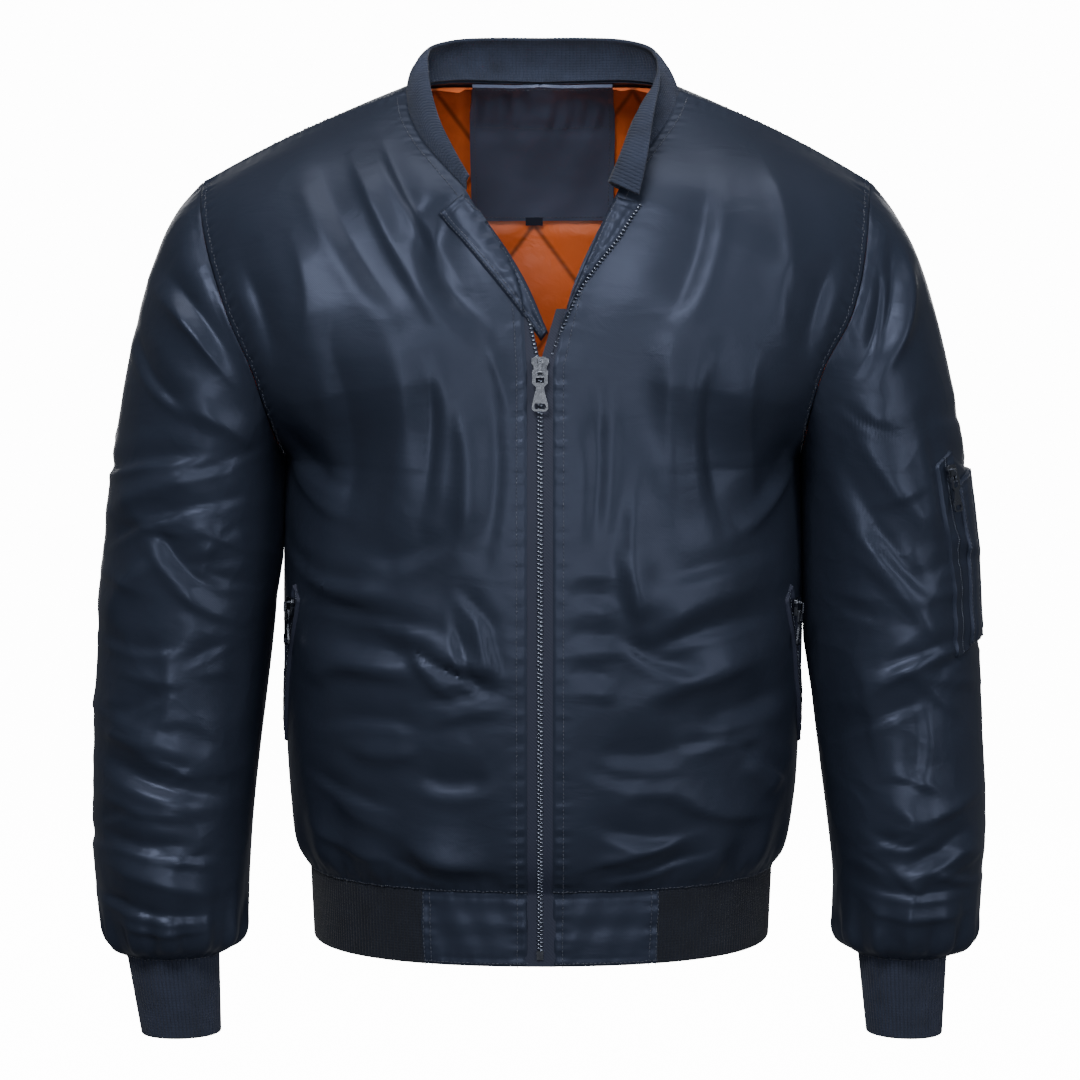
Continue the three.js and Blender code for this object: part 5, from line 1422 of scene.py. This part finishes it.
# A row of stitches across it draws the cloth in, and it puffs a little beside them. The heights
# and pitches are those of the gathers at these stitches and under the collar, and of broad waves.
FACING_SEAM = 0.32  # how far down the stitches lie, as a share of its height
GATHER = {"puff": 1.3, "above": 1.5, "below": 0.6, "top": 0.9, "broad": 1.2, "deepest": -1.0}
GATHER_PITCH = {"seam": 13.0, "top": 4.6, "broad": 41.0}
beside = (down - FACING_SEAM) * 100
gathers = ripple(x + 4 * np.sin(beside / 9), GATHER_PITCH["seam"])
near_top = np.exp(-(((down - 0.1) / 0.07) ** 2)) * ripple(x, GATHER_PITCH["top"], 2.0)
above_seam = np.clip(-beside / 6, 0, 1) * np.clip(down / 0.1, 0, 1)
below_seam = np.exp(-((beside / 9) ** 2))
broad = GATHER["broad"] * ripple(x + 30 * down, GATHER_PITCH["broad"], 0.8)
broad = broad * np.clip(beside / 12, 0, 1) * np.clip((1 - down) / 0.1, 0, 1)
puff = GATHER["puff"] * (1 - np.exp(-((beside / 3.5) ** 2)))
puff = puff + (GATHER["above"] * above_seam + GATHER["below"] * below_seam) * gathers
puff = np.maximum(puff + GATHER["top"] * near_top + broad, GATHER["deepest"])
outer = points - normals * (STRIP_WALL + puff)[..., None]
facing = add_object("neck_facing_shell", *wall_mesh(points, outer, False), facing_painted_light)
finish_cloth(facing, ["neck_facing"])
skins["neck_facing"] = {"u": x_lines, "v": down[:, 0], "points": outer, "normals": -normals}
x, z = np.meshgrid(np.linspace(TAB["left"], TAB["right"], 12), np.linspace(TAB["top"], TAB["foot"], 8))
points, normals = inside_back(x, z, FACING_LIFT - STRIP_WALL - TAB["lift"])
tab = wall("size_tab_ribbon", points, normals, TAB["wall"], nylon, turned=False)
finish_cloth(tab, ["size_tab"])

# The open neck turns each front edge outward: the wide flap behind the zip on the viewer's left,
# and the facing with its zip tape on the right. Each row is [fold x, z, free edge x, z].
WIND_FLAP = table(
    "in_x in_z out_x out_z",
    [
        (6, -182, 1, -188),
        (-8, -150, -24, -156),
        (-21, -127, -42, -134),
        (-34, -108, -59, -114),
        (-47, -90, -71, -101),
        (-58, -76, -79, -92),
    ],
)
FRONT_FACING = table(
    "in_x in_z out_x out_z",
    [
        (9, -201, 8, -202),
        (16, -176, 17, -179),
        (25, -152, 29, -153),
        (34, -131, 43, -133),
        (43, -111, 60, -112),
        (51, -93, 71, -95),
        (58, -79, 78, -85),
    ],
)
TURNED_LIFT = 2.1
TURNED_ROLL = 1.4  # how much higher the fold stands than the free edge
TURNED_PUFF = 1.2


def turned_edge(name, hand, rows, pucker):
    """A front edge's facing, turned out onto the front and soft at its fold."""
    last = len(rows["in_x"]) - 1
    across, row = np.meshgrid(grid_lines(16), np.linspace(0, last, 26 * last))
    x, z = (
        column_at(rows, "in_" + axis, row) * (1 - across) + column_at(rows, "out_" + axis, row) * across
        for axis in "xz"
    )
    u, body_row = place_over(halves[hand]["front"], x, z, 0.05, 9.0)
    points, normals = over(skins["front_" + hand], u, body_row)
    # Beyond the front's edge the strip goes straight on.
    points = np.stack([x, points[..., 1], z], -1) + normals * TURNED_LIFT
    raised = TURNED_ROLL * (1 - across) + TURNED_PUFF * np.sin(np.pi * across) ** 0.7
    points = points + normals * raised[..., None]
    points = sewn_edges(points, normals, ALL_ROUND, pucker)
    piece = wall(name + "_shell", points, normals, STRIP_WALL, flat_nylon_painted_light, turned=hand == "left")
    skins[name] = {"u": grid_lines(16), "v": row[:, 0], "points": points, "normals": normals}
    return piece


flap = turned_edge("wind_flap", "left", WIND_FLAP, 0.12)
finish_cloth(flap, ["wind_flap"])
front_facing = turned_edge("front_facing", "right", FRONT_FACING, 0.35)
finish_cloth(front_facing, ["front_facing"])

# The main zip: two woven tapes between the fronts, closed up to the slider and parted above it.
TAPE_WALL = 1.1
TAPE_RECESS = {"left": 1.3, "right": 1.0}
ZIP_TOP_ROW = 8
ZIP_END_ROW = ZIP_TOP_ROW + 2 / 3
TEETH_AT_END = {"left": -9, "right": 13}
HERRINGBONE = 0.7
ZIP_OVERLAP = 0.6  # how far each tape reaches past the middle
TEETH_BACK = 1.55  # how far the teeth's middles lie from the tape's edge, and how far above it
TEETH_LIFT = 0.35


def tape_finish():
    """Woven polyester tape with a fine herringbone."""
    finish = new_finish("woven_zip_tape")
    tree = finish.node_tree
    place = add_node(tree, "ShaderNodeTexCoord").outputs["Object"]
    ridges = wave(tree, place, 1 / (2 * math.pi * HERRINGBONE * MM), 1, "DIAGONAL")
    colours = {"Base Color": linear("#20263a"), "Roughness": 0.75}
    return coat(finish, {**colours, "Normal": bump(tree, ridges, 0.3, 0.15)})


zip_tape = tape_finish()
teeth_lines = {}
for hand, sign in HANDS.items():
    edge_at = halves[hand]["front"]
    level = np.linspace(1, 0.02, 20)
    foot = edge_at(np.zeros(1), np.zeros(1))
    hem_edge = foot + np.array([[0, HEM_TAPER, -HEM_DROP]]) * level[:, None]
    closed = np.linspace(0, ZIP_TOP_ROW, 120)
    row = np.append(closed, np.linspace(ZIP_TOP_ROW + 0.03, ZIP_END_ROW, 14))
    edge = np.concatenate([hem_edge, edge_at(np.zeros_like(row), row)])
    row = np.concatenate([-level, row])
    parted = np.clip((row - ZIP_TOP_ROW) / (ZIP_END_ROW - ZIP_TOP_ROW), 0, 1)
    inner = edge.copy()
    inner[:, 0] = -ZIP_OVERLAP * sign + parted * TEETH_AT_END[hand]
    across = np.array([-0.2, 0, 0.3, 0.5, 0.7, 0.9, 1])[None, :, None]
    grid = edge[:, None] * (1 - across) + inner[:, None] * across
    normals = grid_normals(grid, sign)
    normals = np.where(normals[..., 1:2] > 0, -normals, normals)
    grid = grid - normals * TAPE_RECESS[hand]
    name = "zip_tape_" + hand
    piece = wall(name + "_weave", grid, normals, TAPE_WALL, zip_tape, turned=hand == "right")
    finish_cloth(piece, [name])
    lifted = grid[:, -1] + normals[:, -1] * TEETH_LIFT
    teeth_lines[hand] = lifted + np.array([sign * TEETH_BACK, 0, 0])

# The zip's teeth, stamped from nickel on the tapes' edges, and all the sewing: one pattern sets a
# small body at even steps along a line, turned with the line and the cloth beneath it.


def repeat_along(name):
    """The pattern: bodies of a given length, width and height at a given step along lines."""
    tree = bpy.data.node_groups.new(name, "GeometryNodeTree")
    sockets = {}
    for label, kind, way in (
        ("Lines", "NodeSocketGeometry", "INPUT"),
        ("Step", "NodeSocketFloat", "INPUT"),
        ("Size", "NodeSocketVector", "INPUT"),
        ("Roundness", "NodeSocketInt", "INPUT"),
        ("Finish", "NodeSocketMaterial", "INPUT"),
        ("Bodies", "NodeSocketGeometry", "OUTPUT"),
    ):
        sockets[label] = tree.interface.new_socket(label, in_out=way, socket_type=kind).identifier
    given = add_node(tree, "NodeGroupInput").outputs
    curve = add_node(tree, "GeometryNodeMeshToCurve", {"Mesh": given["Lines"]})
    spaced = add_node(
        tree,
        "GeometryNodeResampleCurve",
        {"Curve": curve.outputs[0], "Length": given["Step"]},
        mode="LENGTH",
    )
    out = add_node(tree, "GeometryNodeInputNamedAttribute", {"Name": "out"}, data_type="FLOAT_VECTOR")
    tangent = add_node(tree, "GeometryNodeInputTangent")
    turn = add_node(
        tree,
        "FunctionNodeAxesToRotation",
        {"Primary Axis": out.outputs["Attribute"], "Secondary Axis": tangent.outputs[0]},
        primary_axis="Z",
        secondary_axis="X",
    )
    body = add_node(
        tree, "GeometryNodeMeshIcoSphere", {"Radius": 0.5, "Subdivisions": given["Roundness"]}
    )
    smooth = add_node(tree, "GeometryNodeSetShadeSmooth", {"Geometry": body.outputs["Mesh"]})
    bodies = add_node(
        tree,
        "GeometryNodeInstanceOnPoints",
        {
            "Points": spaced.outputs[0],
            "Instance": smooth.outputs[0],
            "Rotation": turn.outputs[0],
            "Scale": given["Size"],
        },
    )
    real = add_node(tree, "GeometryNodeRealizeInstances", {"Geometry": bodies.outputs[0]})
    finish = add_node(
        tree, "GeometryNodeSetMaterial", {"Geometry": real.outputs[0], "Material": given["Finish"]}
    )
    add_node(tree, "NodeGroupOutput", {"Bodies": finish.outputs[0]})
    return tree, sockets


pattern, pattern_sockets = repeat_along("repeat_along_lines")


def repeated(name, lines, step, size, roundness, finish):
    """One piece of repeated small bodies along lines of points and outward directions."""
    points = np.concatenate([line for line, _ in lines])
    outs = np.concatenate([np.broadcast_to(out, line.shape) for line, out in lines])
    edges, start = [], 0
    for line, _ in lines:
        edges += [(start + i, start + i + 1) for i in range(len(line) - 1)]
        start += len(line)
    mesh = bpy.data.meshes.new(name + "_lines")
    mesh.from_pydata((points * MM).tolist(), edges, [])
    mesh.attributes.new("out", "FLOAT_VECTOR", "POINT").data.foreach_set("vector", outs.ravel())
    host = bpy.data.objects.new(name + "_lines", mesh)
    bpy.context.scene.collection.objects.link(host)
    modifier = host.modifiers.new("pattern", "NODES")
    modifier.node_group = pattern
    modifier[pattern_sockets["Step"]] = step * MM
    modifier[pattern_sockets["Size"]] = [side * MM for side in size]
    modifier[pattern_sockets["Roundness"]] = roundness
    modifier[pattern_sockets["Finish"]] = finish
    evaluated = host.evaluated_get(bpy.context.evaluated_depsgraph_get())
    made = bpy.data.objects.new(name, bpy.data.meshes.new_from_object(evaluated))
    bpy.context.scene.collection.objects.link(made)
    bpy.data.objects.remove(host)
    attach(made, BODY)
    return made


def nickel_finish(name, colour):
    """Nickel plate, a little duller in patches from handling."""
    finish = new_finish(name)
    tree = finish.node_tree
    wear = noise(tree, add_node(tree, "ShaderNodeTexCoord").outputs["Object"], 1 / (3 * MM), 4)
    inputs = {"Value": wear[0], "To Min": 0.16, "To Max": 0.34}
    rough = add_node(tree, "ShaderNodeMapRange", inputs)
    return coat(
        finish,
        {
            "Base Color": linear(colour),
            "Metallic": 1.0,
            "Roughness": rough.outputs["Result"],
            "Normal": bump(tree, wear[0], 0.1, 0.05),
        },
    )


nickel = nickel_finish("polished_nickel", "#777b84")
dark_nickel = nickel_finish("dark_nickel_teeth", "#747b8a")
SLIDER_TOP = -203
TOOTH_STEP = 3.1
TOOTH_SIZE = (1.8, 3.6, 1.7)
FINE_STEP = 1.5  # the pocket zips' finer teeth
FINE_SIZE = (0.8, 2.6, 1.2)
front = np.array([0.0, -1.0, 0.15])
lines = []
for hand, sign in HANDS.items():
    path = teeth_lines[hand]
    if hand == "right":
        # Above the slider the right side's teeth run on along the free edge of the turned facing.
        skin = skins["front_facing"]
        v = np.linspace(0, skin["v"][-1], 90)
        lines.append(over(skin, np.full_like(v, 0.97), v, 0.4))
        path = path[path[:, 2] < SLIDER_TOP] + np.array([0, 0, TOOTH_STEP / 2])
    lines.append((path[4:], front))
repeated("zip_teeth", lines, TOOTH_STEP, TOOTH_SIZE, 2, dark_nickel)

# The metal stop that closes the zip's lower end
STOP = {"half_width": 2.6, "top": -660, "foot": -667, "wall": 1.8, "ahead": 1.1}
tape = teeth_lines["right"][:12]
across = STOP["half_width"] * np.linspace(-1, 1, 7)
x, z = np.meshgrid(across, np.linspace(STOP["foot"], STOP["top"], 7))
y = np.interp(z, tape[:, 2], tape[:, 1]) - STOP["ahead"]
ahead = np.broadcast_to(np.array([0.0, -1.0, 0.0]), (*x.shape, 3))
stop = wall("zip_bottom_stop", np.stack([x, y, z], -1), ahead, STOP["wall"], nickel, turned=False)
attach(stop, BODY)

# The sliders and their pulls are the CAD's own shapes, with their corners rounded as cast.
CAST_ROUNDING = 0.35
for place in ("main", "pocket_left", "pocket_right", "arm"):
    for name in ("slider_" + place, "pull_" + place):
        node = bpy.data.objects[name]
        node.material_slots[0].material = nickel
        weld = node.modifiers.new("weld", "WELD")
        weld.merge_threshold = 0.01 * MM
        bevel = node.modifiers.new("round", "BEVEL")
        bevel.width = CAST_ROUNDING * MM
        bevel.segments = 2
        bevel.limit_method = "ANGLE"

# The slanted hand pockets: a zip tape between two narrow welts of nylon, its teeth down the middle.
POCKET_TOP = (0.74, 4.45)
POCKET_FOOT = (0.95, 2.7)
POCKET_ACROSS = (0.022, 0.09)
RIBBON_LIFT = 2.6
RIBBON_GROOVE = {"depth": 1.1, "width": 0.3}


def zipped_pocket(name, skin, top, foot, across, sign, cover, flat):
    """A pocket's ribbon with its welts, along a line from top to foot of a skin and as wide as its
    share of across. Gives the line of its teeth."""
    t = np.linspace(0, 1, 60)[:, None]
    side = np.linspace(-1, 1, 9)
    u = top[0] + (foot[0] - top[0]) * t + side * across[0]
    v = top[1] + (foot[1] - top[1]) * t + side * across[1]
    points, normals = over(skin, u, v, RIBBON_LIFT)
    groove = RIBBON_GROOVE["depth"] * np.exp(-((side / RIBBON_GROOVE["width"]) ** 2))
    points = points - normals * groove[None, :, None]
    points = sewn_edges(points, normals, ALL_ROUND, 0.25)
    piece = wall(name + "_welt", points, normals, TAPE_WALL, cover, turned=sign < 0)
    finish_cloth(piece, [name])
    return points[:, 4] + normals[:, 4] * 0.3, normals[:, 4]


pocket_teeth = []
for hand, sign in HANDS.items():
    name, skin = "pocket_zip_" + hand, skins["front_" + hand]
    run = (POCKET_TOP, POCKET_FOOT, POCKET_ACROSS)
    pocket_teeth.append(zipped_pocket(name, skin, *run, -sign, zip_tape, flat=(0.15, 0.0175)))

# The wearer's left sleeve: a zipped pocket under a welt, and a patch of four pen slots beside it
# that wraps round the outer side of the arm.
ARM_POCKET_TOP = (0.125, 4.55)
ARM_POCKET_FOOT = (0.125, 7.15)
ARM_POCKET_ACROSS = (0.025, 0)
PEN_PATCH = {"behind": -0.104, "front": 0.094, "top": 5.05, "foot": 7.1}
PATCH_LIFT = 2.1
PEN_SLOTS = 4
arm = skins["sleeve_right"]
around = {
    "u": np.concatenate([arm["u"][:-1] - 1, arm["u"]]),
    "v": arm["v"],
    "points": np.concatenate([arm["points"][:, :-1], arm["points"]], 1),
    "normals": np.concatenate([arm["normals"][:, :-1], arm["normals"]], 1),
}
run = (ARM_POCKET_TOP, ARM_POCKET_FOOT, ARM_POCKET_ACROSS)
pocket_teeth.append(zipped_pocket("arm_pocket", around, *run, 1, nylon, flat=(0.175, 0.026)))
repeated("pocket_teeth", pocket_teeth, FINE_STEP, FINE_SIZE, 1, dark_nickel)
u, v = np.meshgrid(
    PEN_PATCH["behind"] + (PEN_PATCH["front"] - PEN_PATCH["behind"]) * grid_lines(64),
    PEN_PATCH["top"] + (PEN_PATCH["foot"] - PEN_PATCH["top"]) * grid_lines(80),
)
points, normals = over(around, u, v, PATCH_LIFT)
slots = (u[0] - PEN_PATCH["behind"]) / (PEN_PATCH["front"] - PEN_PATCH["behind"]) * PEN_SLOTS
puff = 1.3 * np.sqrt(np.abs(np.sin(np.pi * slots)))
points = sewn_edges(points + normals * puff[None, :, None], normals, ALL_ROUND, 0.3)
patch = wall("pen_patch_shell", points, normals, STRIP_WALL, flat_nylon_painted_light, turned=False)
finish_cloth(patch, ["pen_patch"])
counted = np.linspace(0, PEN_SLOTS, len(u[0]))
skins["pen_patch"] = {"u": counted, "v": v[:, 0], "points": points, "normals": normals}

# Topstitching in navy thread: beside the zip and the open neck, on the armholes, shoulders and
# cuff seams, along both edges of the hem's nylon ends, and round each patch and facing.
THREAD_STEP = 3.3
THREAD_SIZE = (2.7, 0.75, 0.6)
THREAD_LIFT = 0.25


def beside_seam(skin, edge, distance, first, last):
    """A line of places on a panel at a distance from one of its edges, and their directions."""
    turns = {
        "left": lambda grid: grid,
        "right": lambda grid: grid[:, ::-1],
        "low": lambda grid: grid.transpose(1, 0, 2),
        "high": lambda grid: grid[::-1].transpose(1, 0, 2),
    }
    points, normals = turns[edge](skin["points"])[:, 1:], turns[edge](skin["normals"])[:, 1:]
    away = lengths_from(points, 1)
    rows = range(int(first * len(points)), int(last * len(points)))
    line, out = [], []
    for i in rows:
        j = int(np.searchsorted(away[i], distance))
        share = (distance - away[i, j - 1]) / (away[i, j] - away[i, j - 1])
        line.append(points[i, j - 1] * (1 - share) + points[i, j] * share)
        out.append(normals[i, j])
    return np.array(line) + np.array(out) * THREAD_LIFT, np.array(out)


# Polyester thread, a little brighter than the nylon
navy_thread = coat(
    new_finish("navy_polyester_thread"),
    {"Base Color": linear("#323a4c"), "Roughness": 0.5, "Sheen Weight": 0.3},
)
SIDE_SEAMS = [
    # panel, edge, distance from it, and where along the edge the row of stitches starts and ends
    ("front", "left", 8, 0.01, 0.985),
    ("front", "right", 5.5, 0.42, 0.99),
    ("back", "right", 5.5, 0.42, 0.99),
    ("back", "high", 4, 0.01, 0.99),
    ("front", "low", 3.5, 0.02, 0.98),
    ("back", "low", 3.5, 0.02, 0.98),
    ("sleeve", "high", 3.5, 0, 1),
    ("hem_panel", "left", 8, 0.02, 0.98),
    ("hem_panel", "right", 3, 0.02, 0.98),
    ("hem_panel", "right", 8.5, 0.02, 0.98),
    ("hem_panel", "high", 3, 0.04, 0.96),
]
NECK_SEAMS = [
    ("wind_flap", "right", 2.5, 0.03, 0.97),
    ("wind_flap", "right", 6, 0.03, 0.97),
    ("wind_flap", "left", 3.5, 0.03, 0.97),
    ("front_facing", "left", 3.5, 0.05, 0.97),
    *(("neck_facing", edge, 3, 0.03, 0.97) for edge in ALL_ROUND),
]
rows = [(name + "_" + hand, *row) for hand in HANDS for name, *row in SIDE_SEAMS] + NECK_SEAMS
seams = [beside_seam(skins[name], *row) for name, *row in rows]
across = np.linspace(FACING["left"] + 4, FACING["right"] - 4, 60)
seams.append(over(skins["neck_facing"], across, np.full_like(across, FACING_SEAM), 0.2))
patch_skin = skins["pen_patch"]
for edge in ALL_ROUND:
    seams.append(beside_seam(patch_skin, edge, 2.2, 0.02, 0.98))
v = np.linspace(PEN_PATCH["top"] + 0.05, PEN_PATCH["foot"] - 0.03, 90)
for slot in range(1, PEN_SLOTS):
    seams.append(over(patch_skin, np.full_like(v, slot), v, 0.3))
repeated("topstitching", seams, THREAD_STEP, THREAD_SIZE, 1, navy_thread)
